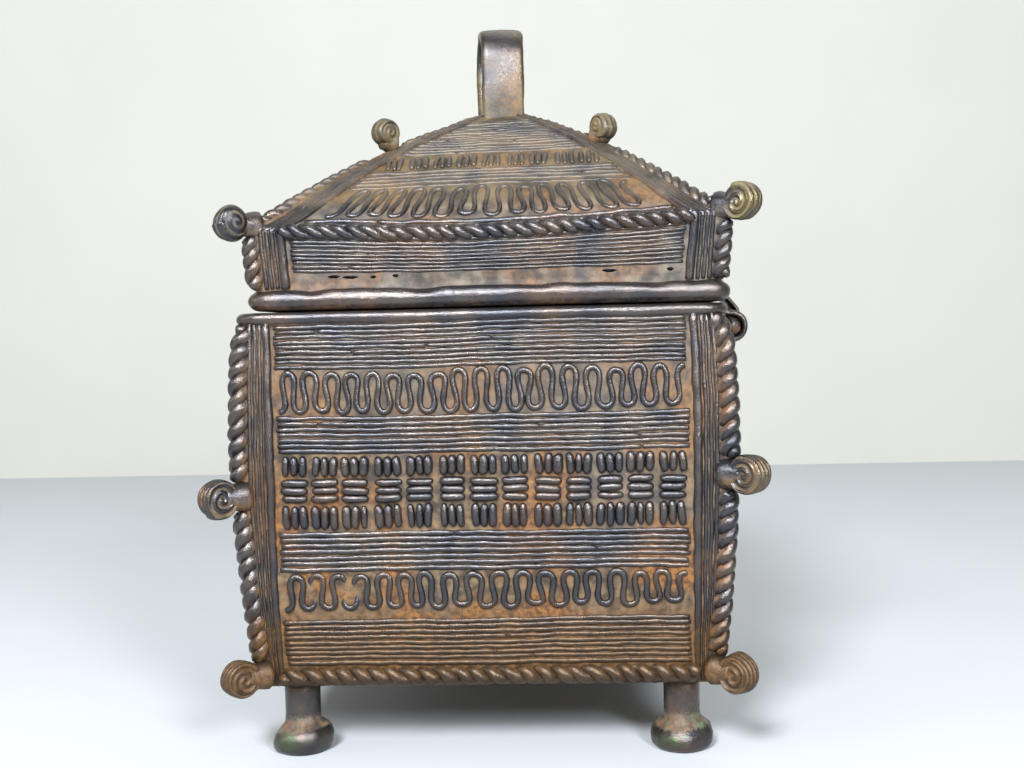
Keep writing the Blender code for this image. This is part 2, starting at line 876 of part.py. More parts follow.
def pin():
    """The hinge pin, with blunt peened ends."""
    half = knuckle_length / 2 + hinge_side_gap + staple_width + pin_overhang
    profile = [(pin_radius - pin_edge, -half), (pin_radius, pin_edge - half),
               (pin_radius, half - pin_edge), (pin_radius - pin_edge, half)]
    return put(turned("hinge_pin", profile, pin_sides), STAND, pivot_x, 0.0, hinge_height)


def make_box():
    surface = BoxSurface()
    skin = Skin()
    panels = [fill_box_panel(skin, surface, side) for side in range(4)]
    bottom_ring, top_ring = wrap(skin, surface, panels)
    close_box(skin, surface, bottom_ring, top_ring)
    box = add_object("casket_body", skin.mesh("casket_body"))
    additions = []
    low_knob_reach = surface.half(low_knob_height) + low_knob_out
    for corner in range(4):
        additions += corner_knob(corner, knob_radius, knob_width, low_knob_reach, low_knob_height)
        additions += corner_knob(corner, knob_radius, knob_width, middle_knob_reach,
                                 middle_knob_heights[corner])
    for x in (-leg_place, leg_place):
        for y in (-leg_place, leg_place):
            additions.append(foot(x, y))
    staple_y = knuckle_length / 2 + hinge_side_gap + staple_width / 2
    additions += [staple(-staple_y), staple(staple_y)]
    unite(box, additions)
    return box


def make_lid():
    surface = LidSurface()
    skin = Skin()
    panels = [fill_lid_panel(skin, surface, side) for side in range(4)]
    bottom_ring, top_ring = wrap(skin, surface, panels)
    close_lid(skin, surface, bottom_ring, top_ring)
    mesh = skin.mesh("lid")
    mesh.transform(Matrix.Translation((lid_offset * MM, 0.0, 0.0)))
    lid = add_object("lid", mesh)
    additions = []
    hip = lid_wall_height + roof_slope * hip_knob_share
    hip_x = lid_offset + apex_shift * hip_knob_share
    for corner in range(4):
        additions += corner_knob(corner, eave_knob_radius, knob_width,
                                 lid_half_eave + eave_knob_out, eave_height + eave_knob_rise,
                                 lid_offset, eave_tilt)
        additions += ridge_knob(corner, hip_knob_radius, hip_knob_width,
                                surface.half(hip) + hip_knob_out,
                                surface.height(hip) + hip_knob_rise, hip_x)
    additions.append(handle(surface.height(surface.end) - skin_inset))
    additions += knuckle()
    unite(lid, additions)
    return lid


def brass():
    """Cast brass with a dark brown patina."""
    material = bpy.data.materials.new("dark_brass")
    material.use_nodes = True
    shader = material.node_tree.nodes["Principled BSDF"]
    shader.inputs["Base Color"].default_value = (0.09, 0.055, 0.03, 1.0)
    shader.inputs["Metallic"].default_value = 0.85
    shader.inputs["Roughness"].default_value = 0.42
    return material


def main():
    for thing in list(bpy.data.objects):
        bpy.data.objects.remove(thing)
    material = brass()
    hinge = Vector((pivot_x + centring, 0.0, hinge_height)) * MM
    for thing in (make_box(), make_lid(), pin()):
        thing.data.transform(Matrix.Translation((centring * MM, 0.0, 0.0)))
        thing.data.materials.clear()
        thing.data.materials.append(material)
        if thing.name != "casket_body":
            thing.data.transform(Matrix.Translation(-hinge))
            thing.location = hinge


main()
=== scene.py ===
"""The looks of a small lost-wax cast brass casket: its wax-thread relief, patina, dust and wear.

Lengths are millimetres until a mesh is made. Every wire of the relief is laid on the same surfaces
that the solids follow, so it stays on the walls that carry it.
"""

import json
import math

import bpy
import numpy as np
from mathutils import Matrix, Vector


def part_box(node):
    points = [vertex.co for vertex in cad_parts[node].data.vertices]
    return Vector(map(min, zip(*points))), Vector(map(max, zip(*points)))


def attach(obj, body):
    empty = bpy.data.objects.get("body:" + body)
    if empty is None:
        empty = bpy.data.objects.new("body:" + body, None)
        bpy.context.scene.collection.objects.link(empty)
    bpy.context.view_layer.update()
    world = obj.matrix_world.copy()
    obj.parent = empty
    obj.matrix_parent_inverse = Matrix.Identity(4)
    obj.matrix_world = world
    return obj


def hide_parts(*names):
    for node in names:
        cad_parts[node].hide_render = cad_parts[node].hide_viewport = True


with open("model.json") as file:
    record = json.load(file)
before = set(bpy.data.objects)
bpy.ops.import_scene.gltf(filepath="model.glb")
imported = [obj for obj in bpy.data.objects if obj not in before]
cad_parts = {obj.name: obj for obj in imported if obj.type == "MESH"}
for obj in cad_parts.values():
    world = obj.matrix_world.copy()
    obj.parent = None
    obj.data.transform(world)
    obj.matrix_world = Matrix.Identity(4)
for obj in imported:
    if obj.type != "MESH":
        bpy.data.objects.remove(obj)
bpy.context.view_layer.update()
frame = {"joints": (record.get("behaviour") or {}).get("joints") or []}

MM = 0.001

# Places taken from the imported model
hinge = next(joint for joint in frame["joints"] if joint["name"] == "lid_hinge")
hinge_at = [value / MM for value in hinge["pos_m"]]
box_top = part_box("casket_body")[1][2] / MM

# Box
underside = 14.6
wall = 2.6
floor_height = underside + 3.0
rim_height = 2.5
rim_start = box_top - rim_height
half_widest = 49.4
side_bulge = 3.4
widest_height = 63.0
corner_fall = 7.0
corner_draw = 1.3
rim_corner = 5.0
pivot_x = 53.6
centring = hinge_at[0] - pivot_x

# Lid
lid_offset = 1.6
lid_bottom = box_top + 0.3
lid_rim_height = 4.2
lid_wall_start = lid_bottom + lid_rim_height
lid_half_rim = 47.1
lid_half_eave = 48.0
lid_wall_height = 12.9
eave_height = lid_wall_start + lid_wall_height
eave_sag = 1.9
roof_rise = 27.6
roof_crown = 1.9
apex_half = 6.6
apex_shift = 1.4
apex_narrowing = 0.45
eave_tilt = 0.016
eave_rope_width = 3.2
roof_slope = math.hypot(roof_rise, lid_half_eave - apex_half)
lid_reach = lid_wall_height + roof_slope

# Skin
skin_inset = 1.2
post_width = 8.85

# Knobs: corners go round from the back right one, the last two are the front left and front right
low_knob_height = 17.2
low_knob_out = 2.6
middle_knob_heights = (55.2, 54.3, 53.1, 56.1)
middle_knob_out = 1.9
eave_knob_out = 1.3
eave_knob_rise = 0.75
hip_knob_share = 0.57
hip_knob_out = -1.3
hip_knob_rise = 2.6
knob_cover = 3.6

# Feet and handle
leg_place = 38.6
leg_radius = 3.7
pad_radius = 6.2
pad_height = 5.9
handle_width = 10.0
handle_span = 15.6
handle_height = 20.7
handle_thickness = 2.5
handle_turn = 9.0
handle_shrink = 0.25

# Hinge
strap_thickness = 1.4
strap_middle = 2.9
staple_offset = 9.4
staple_width = 4.9
tongue_width = 12.8
rod_radius = 1.85
rod_half = 12.9

# Fine work
knob_radius = 3.85
knob_width = 4.1
eave_knob_radius = 3.6
hip_knob_radius = 2.9
hip_knob_width = 4.2
box_wire_radius = 0.6
lid_wire_radius = 0.55
post_wire_radii = (0.95, 0.48, 0.48, 0.5)
post_wire_gap = 0.12
bottom_rope = (2.05, 3.3)
corner_rope = (2.2, 3.0)
eave_rope = (1.65, 2.9)
lid_corner_rope = (1.9, 2.5)


def blend(low, high, share):
    """The value that lies a share of the way from low to high."""
    return low + (high - low) * share


def array(values):
    """Values as an array of floats."""
    return np.asarray(values, dtype=float)


def smooth(low, high, value):
    """Rises smoothly from 0 at low to 1 at high."""
    share = np.clip((value - low) / (high - low), 0.0, 1.0)
    return share * share * (3.0 - 2.0 * share)


def wander(value, seed, length):
    """Smooth noise along a line, from -1 to 1, with swings about as long as length."""
    rng = np.random.default_rng(seed)
    total = np.zeros_like(array(value))
    for octave, weight in enumerate((0.5, 0.3, 0.2)):
        rate = math.tau / length * (0.7 + 0.6 * rng.random()) * 1.9 ** octave
        total = total + weight * np.sin(np.asarray(value) * rate + math.tau * rng.random())
    return total


def uneven(places, seed, length, amount):
    """Small smooth shifts of places, the same for places that are close together."""
    rng = np.random.default_rng(seed)
    shift = np.zeros_like(places)
    for octave in range(3):
        for axis in range(3):
            way = rng.normal(size=3)
            way = way / np.linalg.norm(way) * math.tau / length * 1.7 ** octave
            shift[:, axis] += np.sin(places @ way + math.tau * rng.random()) * 0.6 ** octave
    return places + shift * amount / 1.6


class Piece:
    """Gathers the vertices and faces of one mesh, with how far each vertex stands out."""

    def __init__(self, name, body):
        self.name = name
        self.body = body
        self.places = []
        self.crests = []
        self.wear_and_pit_shades = []
        self.quads = []
        self.triangles = []
        self.count = 0

    def add(self, places, crest, wear_and_pit_shade=0.0):
        """Adds loose vertices and gives the number of the first one."""
        places = array(places).reshape(-1, 3)
        first = self.count
        self.places.append(places)
        self.crests.append(np.broadcast_to(crest, len(places)).astype(float))
        self.wear_and_pit_shades.append(np.broadcast_to(wear_and_pit_shade, len(places)).astype(float))
        self.count += len(places)
        return first

    def grid(self, places, crest, wear_and_pit_shade=0.0):
        """A net of rows by columns of places, closed around its columns."""
        rows, columns = places.shape[:2]
        crest = np.broadcast_to(crest, (rows, columns)).reshape(-1)
        wear_and_pit_shade = np.broadcast_to(wear_and_pit_shade, (rows, columns)).reshape(-1)
        first = self.add(places.reshape(-1, 3), crest, wear_and_pit_shade)
        row, column = np.meshgrid(np.arange(rows - 1), np.arange(columns), indexing="ij")
        after = (column + 1) % columns
        corners = [row * columns + column, row * columns + after,
                   (row + 1) * columns + after, (row + 1) * columns + column]
        self.quads.append(np.stack([first + corner.reshape(-1) for corner in corners], axis=1))
        return first, columns

    def fan(self, ring_start, columns, middle, crest, wear_and_pit_shade=0.0, flip=False):
        """Closes the ring of columns that starts at a vertex, around a middle place."""
        tip = self.add([middle], crest, wear_and_pit_shade)
        near = ring_start + np.arange(columns)
        far = ring_start + (np.arange(columns) + 1) % columns
        tips = np.full(columns, tip)
        order = [far, near, tips] if flip else [near, far, tips]
        self.triangles.append(np.stack(order, axis=1))

    def tube(self, path, outward, radius, sides=8, flat=1.0, wear_and_pit_shade=0.0):
        """A round wire along a path. Its crest is the side that looks outward."""
        path = array(path)
        outward = np.broadcast_to(array(outward), path.shape)
        radius = np.broadcast_to(array(radius), len(path))
        tangent = np.gradient(path, axis=0)
        tangent /= np.linalg.norm(tangent, axis=1)[:, None] + 1e-12
        out = outward - (outward * tangent).sum(axis=1)[:, None] * tangent
        out /= np.linalg.norm(out, axis=1)[:, None] + 1e-12
        beside = np.cross(tangent, out)
        angle = math.tau * np.arange(sides) / sides
        ring = (path[:, None, :]
                + radius[:, None, None] * (flat * np.cos(angle)[None, :, None] * out[:, None, :]
                                           + np.sin(angle)[None, :, None] * beside[:, None, :]))
        crest = np.broadcast_to(0.5 + 0.5 * np.cos(angle), (len(path), sides))
        first, columns = self.grid(ring, crest, wear_and_pit_shade)
        start_tip = path[0] - tangent[0] * radius[0] * 0.45
        end_tip = path[-1] + tangent[-1] * radius[-1] * 0.45
        self.fan(first, columns, start_tip, 0.5, flip=True)
        self.fan(first + (len(path) - 1) * columns, columns, end_tip, 0.5)

    def finish(self, material, shift_x=0.0, shaped=True):
        """Makes the mesh with its material and ties it to its body."""
        places = np.concatenate(self.places)
        if shaped:
            places = shape_casting(places, self.body)
        places[:, 0] += shift_x
        mesh = bpy.data.meshes.new(self.name)
        quads = np.concatenate(self.quads) if self.quads else np.zeros((0, 4), int)
        triangles = np.concatenate(self.triangles) if self.triangles else np.zeros((0, 3), int)
        mesh.vertices.add(len(places))
        mesh.vertices.foreach_set("co", (places * MM).astype(np.float32).reshape(-1))
        loops = np.concatenate([quads.reshape(-1), triangles.reshape(-1)])
        mesh.loops.add(len(loops))
        mesh.loops.foreach_set("vertex_index", loops.astype(np.int32))
        starts = np.concatenate([np.arange(len(quads)) * 4,
                                 len(quads) * 4 + np.arange(len(triangles)) * 3])
        mesh.polygons.add(len(starts))
        mesh.polygons.foreach_set("loop_start", starts.astype(np.int32))
        mesh.update(calc_edges=True)
        mesh.validate()
        for name, values in (("crest", self.crests), ("wear_and_pit_shade", self.wear_and_pit_shades)):
            layer = mesh.attributes.new(name, "FLOAT", "POINT")
            layer.data.foreach_set("value", np.concatenate(values).astype(np.float32))
        mesh.shade_smooth()
        thing = bpy.data.objects.new(self.name, mesh)
        bpy.context.scene.collection.objects.link(thing)
        mesh.materials.append(material)
        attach(thing, self.body)
        return thing


def shape_casting(places, body):
    """The hand-made unevenness of the castings, and the sag of the lid's front eave."""
    calm = smooth(0.0, 3.0, np.abs(places[:, 2] - (box_top + 0.15)))
    ground = smooth(underside - 3.0, underside + 6.0, places[:, 2])
    moved = uneven(places, 11, 34.0, 0.2)
    moved = uneven(moved, 12, 7.0, 0.06)
    places = places + (moved - places) * (calm * ground)[:, None]
    if body == "lid":
        front = smooth(22.0, 44.0, -places[:, 1])
        middle = np.clip(1.0 - (places[:, 0] / (lid_half_eave - 4.0)) ** 2, 0.0, 1.0)
        below = smooth(lid_wall_start - 1.0, eave_height - 2.0, places[:, 2])
        above = 1.0 - smooth(eave_height, eave_height + 11.0, places[:, 2])
        places[:, 2] -= eave_sag * front * middle * below * above
    return places


def on_side(side, across, depth, height):
    """Places on one of the four sides: 0 is the front, and they go round by way of +X."""
    turn = side * math.pi / 2
    across, depth, height = np.broadcast_arrays(across, depth, height)
    x = across * math.cos(turn) + depth * math.sin(turn)
    y = across * math.sin(turn) - depth * math.cos(turn)
    return np.stack([x, y, height], axis=-1).astype(float)


class Surface:
    """A skin that is the same on its four sides: s runs up along it, and d stands out from it."""

    def panel(self, s):
        """Half the width of the ornament between the corner posts."""
        return self.half(s) - post_width * self.post(s)


class BoxSurface(Surface):
    """The box's walls: s is the height above the ground."""

    def half(self, s):
        """Half the width over the walls."""
        share = (array(s) - widest_height) / (widest_height - underside)
        return half_widest - side_bulge * share ** 2

    def post(self, s):
        """The width of a corner post, as a share of post_width."""
        return 1.0 - (half_widest - self.half(s)) / post_width

    def corner_cut(self, s):
        """How far the corner draws in under the rim."""
        share = np.clip((array(s) - rim_start + corner_fall) / corner_fall, 0, 1.2)
        return corner_draw * share ** 2

    def place(self, side, across, s, d):
        """Places on a side: across from its middle, s along it and d out from its skin."""
        return on_side(side, across, self.half(s) - skin_inset + d, array(s))

    def outward(self, side, s):
        """The way that the skin looks."""
        return on_side(side, 0.0, np.ones_like(array(s)), 0.0)


class LidSurface(Surface):
    """The lid's skin: s goes up its wall and then up the slope of its roof."""

    def share(self, s):
        """How far up the roof a place is: 0 at the eave and 1 at the top."""
        return np.clip((array(s) - lid_wall_height) / roof_slope, 0.0, 1.0)

    def half(self, s):
        s = array(s)
        low = blend(lid_half_rim, lid_half_eave, np.clip(s / lid_wall_height, 0, 1))
        return np.where(s <= lid_wall_height, low, blend(lid_half_eave, apex_half, self.share(s)))

    def height(self, s):
        s = array(s)
        share = self.share(s)
        roof = eave_height + roof_rise * share + roof_crown * np.sin(math.pi * share)
        return np.where(s <= lid_wall_height, lid_wall_start + s, roof)

    def post(self, s):
        return blend(1.0, apex_narrowing, self.share(s))

    def corner_cut(self, s):
        return np.zeros_like(array(s))

    def normal(self, s):
        """How far out and up the skin looks. It turns over the width of the eave rope."""
        turn = np.clip(0.5 + (array(s) - lid_wall_height) / eave_rope_width, 0, 1)
        outward = blend(1.0, roof_rise / roof_slope, turn)
        upward = blend(0.0, (lid_half_eave - apex_half) / roof_slope, turn)
        size = np.hypot(outward, upward)
        return outward / size, upward / size

    def place(self, side, across, s, d):
        outward, upward = self.normal(s)
        places = on_side(side, across, self.half(s) + (d - skin_inset) * outward,
                         self.height(s) + (d - skin_inset) * upward)
        lean = eave_tilt * np.clip(array(s) / lid_wall_height, 0, 1)
        places[..., 2] += lean * places[..., 0]
        places[..., 0] += apex_shift * self.share(s)
        return places

    def outward(self, side, s):
        outward, upward = self.normal(s)
        return on_side(side, 0.0, outward, upward)


BOX = BoxSurface()
LID = LidSurface()


def rib(piece, surface, side, s_line, u_range, radius, depth, seed, sides=8, step=1.0):
    """One wax thread across a panel, along the heights that s_line gives for its u values."""
    length = 2 * float(surface.panel(s_line(0.0))) * (u_range[1] - u_range[0]) / 2
    count = max(6, int(length / step))
    u = np.linspace(u_range[0], u_range[1], count)
    x_rough = u * float(surface.panel(s_line(0.0)))
    s = np.array([s_line(value) for value in u]) + 0.08 * wander(x_rough, seed + 1, 9.0)
    half = surface.panel(s)
    swell = 1.0 + 0.13 * wander(x_rough, seed + 2, 5.0) + 0.07 * wander(x_rough, seed + 3, 2.2)
    d = depth + 0.12 * wander(x_rough, seed + 4, 11.0)
    path = surface.place(side, u * half, s, d)
    piece.tube(path, surface.outward(side, s), radius * swell, sides)


def rib_band(piece, surface, side, bottom, top, count, seed, fine=True, depth=0.0, inset=0.012):
    """Wax threads laid one beside the other, each with small faults of its own."""
    rng = np.random.default_rng(seed)
    pitch = (top - bottom) / count
    for index in range(count):
        level = blend(bottom, top, (index + 0.5) / count)
        drift = rng.normal() * 0.05 * pitch
        slope = rng.normal() * 0.05 * pitch

        def s_line(u, level=level, drift=drift, slope=slope):
            return level + drift + slope * u

        ends = (-1.0 + inset + 0.01 * rng.random(), 1.0 - inset - 0.01 * rng.random())
        parts = [ends]
        if fine and rng.random() < 0.4:
            cut = rng.uniform(-0.8, 0.8)
            parts = [(ends[0], cut - 0.004), (cut + 0.004, ends[1])]
        for part, span in enumerate(parts):
            rib(piece, surface, side, s_line, span, pitch * 0.5 * rng.uniform(0.94, 1.08),
                depth - 0.12 * pitch + 0.05 * rng.normal(), seed * 100 + index * 7 + part * 3,
                8 if fine else 6, 1.1 if fine else 2.2)


def spline(points, per_span):
    """A smooth curve through points."""
    points = array(points)
    padded = np.vstack([2 * points[0] - points[1], points, 2 * points[-1] - points[-2]])
    out = []
    for index in range(len(points) - 1):
        p0, p1, p2, p3 = padded[index:index + 4]
        for step in range(per_span):
            t = step / per_span
            out.append(0.5 * (2 * p1 + (p2 - p0) * t + (2 * p0 - 5 * p1 + 4 * p2 - p3) * t * t
                              + (3 * p1 - p0 - 3 * p2 + p3) * t ** 3))
    out.append(points[-1])
    return np.array(out)


def meander(piece, surface, side, bottom, top, turns, radius, seed, fine=True, ends=(-0.97, 0.97),
            depth=0.1, swell=1.15, gaps=()):
    """A wire that winds up and down along a band in round loops with narrow necks."""
    rng = np.random.default_rng(seed)
    middle = blend(bottom, top, 0.5)
    half = float(surface.panel(middle))
    reach = (top - bottom) / 2 - radius - 0.1
    start, stop = ends[0] * half, ends[1] * half
    pitch = (stop - start) / (turns + 0.5)
    per_turn = 26 if fine else 14
    count = int((turns + 0.5) * per_turn) + 1
    turn = np.linspace(0.0, turns + 0.5, count)
    knots = np.arange(2 * turns + 3) / 2
    widths = 1.0 + 0.10 * rng.normal(size=len(knots))
    edges = np.concatenate([[0.0], np.cumsum(widths)[:-1]])
    edges *= (turns + 0.5) / np.interp(turns + 0.5, knots, edges)
    tall = np.interp(turn, knots, 1.0 + 0.07 * rng.normal(size=len(knots)))
    round_off = np.interp(turn, knots, swell * (1.0 + 0.16 * rng.normal(size=len(knots))))
    x = start + pitch * (np.interp(turn, knots, edges)
                         + round_off * np.sin(2 * math.tau * turn) / math.tau / 1.15)
    v = -reach * tall * np.cos(math.tau * turn)
    s = middle + v + 0.22 * wander(x, seed + 6, 14.0)
    across = x * surface.panel(s) / half
    d = depth + 0.1 * wander(x, seed + 7, 8.0)
    width = radius * (1.0 + 0.10 * wander(x + v, seed + 8, 4.0))
    for gap in gaps:
        d = d - 1.3 * radius * np.exp(-((turn - gap) / 0.16) ** 2)
    path = surface.place(side, across, s, d)
    piece.tube(path, surface.outward(side, s), width, 8 if fine else 6)


def short_wire(piece, surface, side, start, end, radius, seed, sides=8):
    """A short thread on a panel, from one (across, s) to another, with round ends."""
    share = np.array([0.0, 0.06, 0.2, 0.4, 0.6, 0.8, 0.94, 1.0])
    taper = np.array([0.62, 0.86, 1.0, 1.0, 1.0, 1.0, 0.86, 0.62])
    across = blend(start[0], end[0], share) + 0.08 * wander(share * 6, seed, 5.0)
    s = blend(start[1], end[1], share) + 0.08 * wander(share * 6, seed + 1, 5.0)
    rng = np.random.default_rng(seed)
    hump = 0.25 * np.sin(math.pi * share) + 0.1 * rng.normal()
    path = surface.place(side, across, s, hump)
    piece.tube(path, surface.outward(side, s), radius * taper * (1 + 0.08 * rng.normal()), sides)


def basket(piece, surface, side, rows, bottom, blocks, seed, fine=True, ends=(-0.985, 0.985),
           fill=0.84, thick=1.1):
    """Rows of basket work, given as (top, upright): bundles of three threads."""
    rng = np.random.default_rng(seed)
    jitter = rng.normal(size=blocks) * 0.025
    low = bottom
    for row, (top, upright) in enumerate(rows):
        half = float(surface.panel(blend(low, top, 0.5)))
        pitch = (ends[1] - ends[0]) * half / blocks
        for block in range(blocks):
            centre = ends[0] * half + pitch * (block + 0.5 + jitter[block])
            width = pitch * fill * (1 + 0.05 * rng.normal())
            near, far = centre - width / 2, centre + width / 2
            seed_here = seed * 1000 + row * 100 + block * 4
            for wire in range(3):
                share = (wire + 0.5) / 3
                if upright:
                    x = blend(near, far, share)
                    tilt = 0.12 * rng.normal()
                    radius = width / 6.6 * thick
                    start = (x - tilt, blend(low, top, 0.06 + 0.04 * rng.random()))
                    end = (x + tilt, blend(low, top, 0.94 - 0.04 * rng.random()))
                else:
                    s = blend(low, top, blend(0.06, 0.94, share))
                    radius = (top - low) / 6.9 * thick
                    start = (near + 0.2 * rng.random(), s)
                    end = (far - 0.2 * rng.random(), s + 0.1 * rng.normal())
                short_wire(piece, surface, side, start, end, radius, seed_here + wire,
                           8 if fine else 6)
        low = top


def rope(piece, centre, outward, radius, pitch, hand=1, seed=0, steps_per_turn=14, sides=8):
    """Two strands twisted together along a line of centre places."""
    centre = array(centre)
    outward = np.broadcast_to(outward, centre.shape)
    lengths = np.concatenate([[0], np.cumsum(np.linalg.norm(np.diff(centre, axis=0), axis=1))])
    total = lengths[-1]
    count = max(8, int(total / (2 * pitch) * steps_per_turn))
    along = np.linspace(0, total, count)
    path = np.stack([np.interp(along, lengths, centre[:, axis]) for axis in range(3)], axis=1)
    out = np.stack([np.interp(along, lengths, outward[:, axis]) for axis in range(3)], axis=1)
    tangent = np.gradient(path, axis=0)
    tangent /= np.linalg.norm(tangent, axis=1)[:, None]
    out -= (out * tangent).sum(axis=1)[:, None] * tangent
    out /= np.linalg.norm(out, axis=1)[:, None]
    beside = np.cross(tangent, out)
    size = np.broadcast_to(radius, len(centre)) if np.ndim(radius) else np.full(len(centre), radius)
    size = np.interp(along, lengths, size)
    for strand in range(2):
        angle = (hand * math.pi * along / pitch + math.pi * strand
                 + 0.5 * wander(along, seed + strand, 12.0))
        lay = size * 0.42
        thick = size * 0.60 * (1 + 0.08 * wander(along, seed + 5 + strand, 6.0))
        line = path + lay[:, None] * (np.cos(angle)[:, None] * out + np.sin(angle)[:, None] * beside)
        piece.tube(line, out, thick, sides)


def square_ring(half, height, radius, per_side, lean=0.0):
    """A ring of places on a square with round corners."""
    share = (np.arange(per_side) + 0.0) / per_side * 2 - 1
    lateral = share * half
    beyond = np.abs(lateral) - (half - radius)
    turned = beyond > 0
    angle = np.where(turned, beyond / radius * math.pi / 4, 0.0)
    across = np.where(turned, np.sign(lateral) * (half - radius + radius * np.sin(angle)), lateral)
    depth = np.where(turned, half - radius + radius * np.cos(angle), half)
    ring = np.concatenate([on_side(side, across, depth, height) for side in range(4)])
    ring[:, 2] += lean * ring[:, 0]
    return ring


def loft(piece, rings, crests, start_tip, end_tip):
    """Joins rings of places, and closes both ends around a middle place."""
    net = np.array(rings)
    crest = array(crests).reshape(-1, 1)
    first, columns = piece.grid(net, crest)
    piece.fan(first, columns, start_tip, crests[0], flip=True)
    piece.fan(first + (len(rings) - 1) * columns, columns, end_tip, crests[-1])


class Rings:
    """Square rings of places, gathered in order along the skin of one shell."""

    def __init__(self, per_side=78):
        self.per_side = per_side
        self.places = []
        self.crests = []

    def add(self, half, height, radius, crest, lean=0.0, shift=0.0):
        ring = square_ring(half, height, radius, self.per_side, lean)
        ring[:, 0] += shift
        self.places.append(ring)
        self.crests.append(crest)


def box_shell(material):
    """The box's wall with its rolled rim, hollow and floor."""
    piece = Piece("casket_shell", "casket")
    rings = Rings()
    for share in (0.3, 0.7, 0.95):
        rings.add(float(BOX.half(underside)) * share - skin_inset, underside, 1.5, 0.3)
    for s in np.linspace(underside, rim_start - 0.4, 56):
        rounding = blend(1.2, rim_corner, float(smooth(box_top - 12, box_top - 3, s)))
        rings.add(float(BOX.half(s)) - skin_inset, s, rounding, 0.12)
    rim_middle = box_top - rim_height * 0.52
    rim_half = float(BOX.half(box_top)) - 1.25
    for angle in np.linspace(-70, 90, 9):
        turn = math.radians(angle)
        crest = 0.45 + 0.5 * math.cos(turn - math.radians(30))
        rings.add(rim_half + 1.2 * math.cos(turn), rim_middle + rim_height * 0.5 * math.sin(turn),
                  rim_corner, crest)
    inner = float(BOX.half(box_top)) - skin_inset - wall
    rings.add(inner + 0.5, box_top - 0.05, rim_corner, 0.5)
    for height in np.linspace(box_top - 0.5, floor_height + 0.8, 14):
        rings.add(float(BOX.half(height)) - skin_inset - wall, height, rim_corner, 0.3)
    floor_half = float(BOX.half(floor_height)) - skin_inset - wall
    for share in (0.985, 0.9, 0.6, 0.3):
        rings.add(floor_half * share, floor_height, rim_corner * share, 0.25)
    loft(piece, rings.places, rings.crests, (0, 0, underside), (0, 0, floor_height))
    thing = piece.finish(material, centring)
    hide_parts("casket_body")
    return thing


def lid_shell(material):
    """The lid's rim, wall, roof and hollow."""
    piece = Piece("lid_shell", "lid")
    rings = Rings()
    inner = lid_half_rim - skin_inset - wall
    down = wall * roof_slope / (lid_half_eave - apex_half) + skin_inset
    for share in (0.95, 0.8, 0.6, 0.4, 0.25, 0.12):
        s = lid_wall_height + roof_slope * share
        rings.add(float(LID.half(s)) - skin_inset, float(LID.height(s)) - down, 2.0, 0.3,
                  shift=apex_shift * share)
    for height in np.linspace(lid_wall_start + 6, lid_bottom + 0.4, 5):
        rings.add(inner, height, 5.0, 0.3)
    half_rod = lid_rim_height * 0.48
    for angle in np.linspace(-90, 62, 12):
        turn = math.radians(angle)
        crest = 0.4 + 0.5 * math.cos(turn - math.radians(30))
        rings.add(lid_half_rim - 1.5 + 1.9 * math.cos(turn),
                  lid_bottom + half_rod * (1.0 + math.sin(turn)), 4.5, crest)
        ring = rings.places[-1]
        ring[:, 2] += 0.5 * max(0.0, math.sin(turn)) * wander(ring[:, 0] + 1.7 * ring[:, 1], 7, 24.0)
    for s in np.linspace(0.0, lid_reach, 54):
        rounding = blend(3.5, 1.0, float(smooth(0.0, 8.0, s)))
        outward, upward = (float(value) for value in LID.normal(s))
        lean = eave_tilt * min(1.0, s / lid_wall_height)
        rings.add(float(LID.half(s)) - skin_inset * outward, float(LID.height(s)) - skin_inset * upward,
                  rounding, 0.12, lean, apex_shift * float(LID.share(s)))
    top = float(LID.height(lid_reach)) - skin_inset
    rings.add(apex_half * 0.5, top + 0.1, 1.0, 0.4, shift=apex_shift)
    hollow_top = float(LID.height(lid_wall_height + roof_slope * 0.95)) - down
    loft(piece, rings.places, rings.crests, (apex_shift, 0, hollow_top), (apex_shift, 0, top + 0.2))
    thing = piece.finish(material, centring + lid_offset)
    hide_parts("lid")
    return thing


# Box: tops of the ornament bands
bands = {
    "rope": 18.4, "foot_ribs": 28.5, "plain": 30.1, "low_meander": 38.0, "middle_ribs": 46.0,
    "weave_low": 51.4, "weave_middle": 56.7, "weave_high": 61.0, "upper_ribs": 68.8,
    "upper_meander": 77.8,
}


def box_ribs(material):
    """The threads that run across the four sides of the box."""
    piece = Piece("casket_threads", "casket")
    for side in range(4):
        fine = side == 0
        seed = 40 + side * 10
        rib_band(piece, BOX, side, bands["rope"] + 0.5, bands["foot_ribs"], 9, seed, fine)
        rib_band(piece, BOX, side, bands["low_meander"], bands["middle_ribs"], 7, seed + 1, fine)
        rib_band(piece, BOX, side, bands["weave_high"] + 0.2, bands["upper_ribs"], 7, seed + 2, fine)
        rib_band(piece, BOX, side, bands["upper_meander"], rim_start, 9, seed + 3, fine)
    return piece.finish(material, centring)


# Where the lower meander has sunk into the wall, in turns from its left end
worn_turns = (1.25, 2.75, 3.25)


def box_wires(material):
    """Meanders and basket work on the four sides of the box."""
    piece = Piece("casket_wires", "casket")
    rows = ((bands["weave_low"], True), (bands["weave_middle"], False), (bands["weave_high"], True))
    for side in range(4):
        fine = side == 0
        seed = 300 + side * 20
        turns = 18 if fine else 14
        meander(piece, BOX, side, bands["upper_ribs"], bands["upper_meander"], turns, box_wire_radius,
                seed, fine)
        meander(piece, BOX, side, bands["plain"], bands["low_meander"], turns - 1,
                box_wire_radius + 0.02, seed + 1, fine, gaps=worn_turns)
        basket(piece, BOX, side, rows, bands["middle_ribs"] + 0.2, 13 if fine else 11, seed + 2, fine)
    return piece.finish(material, centring)


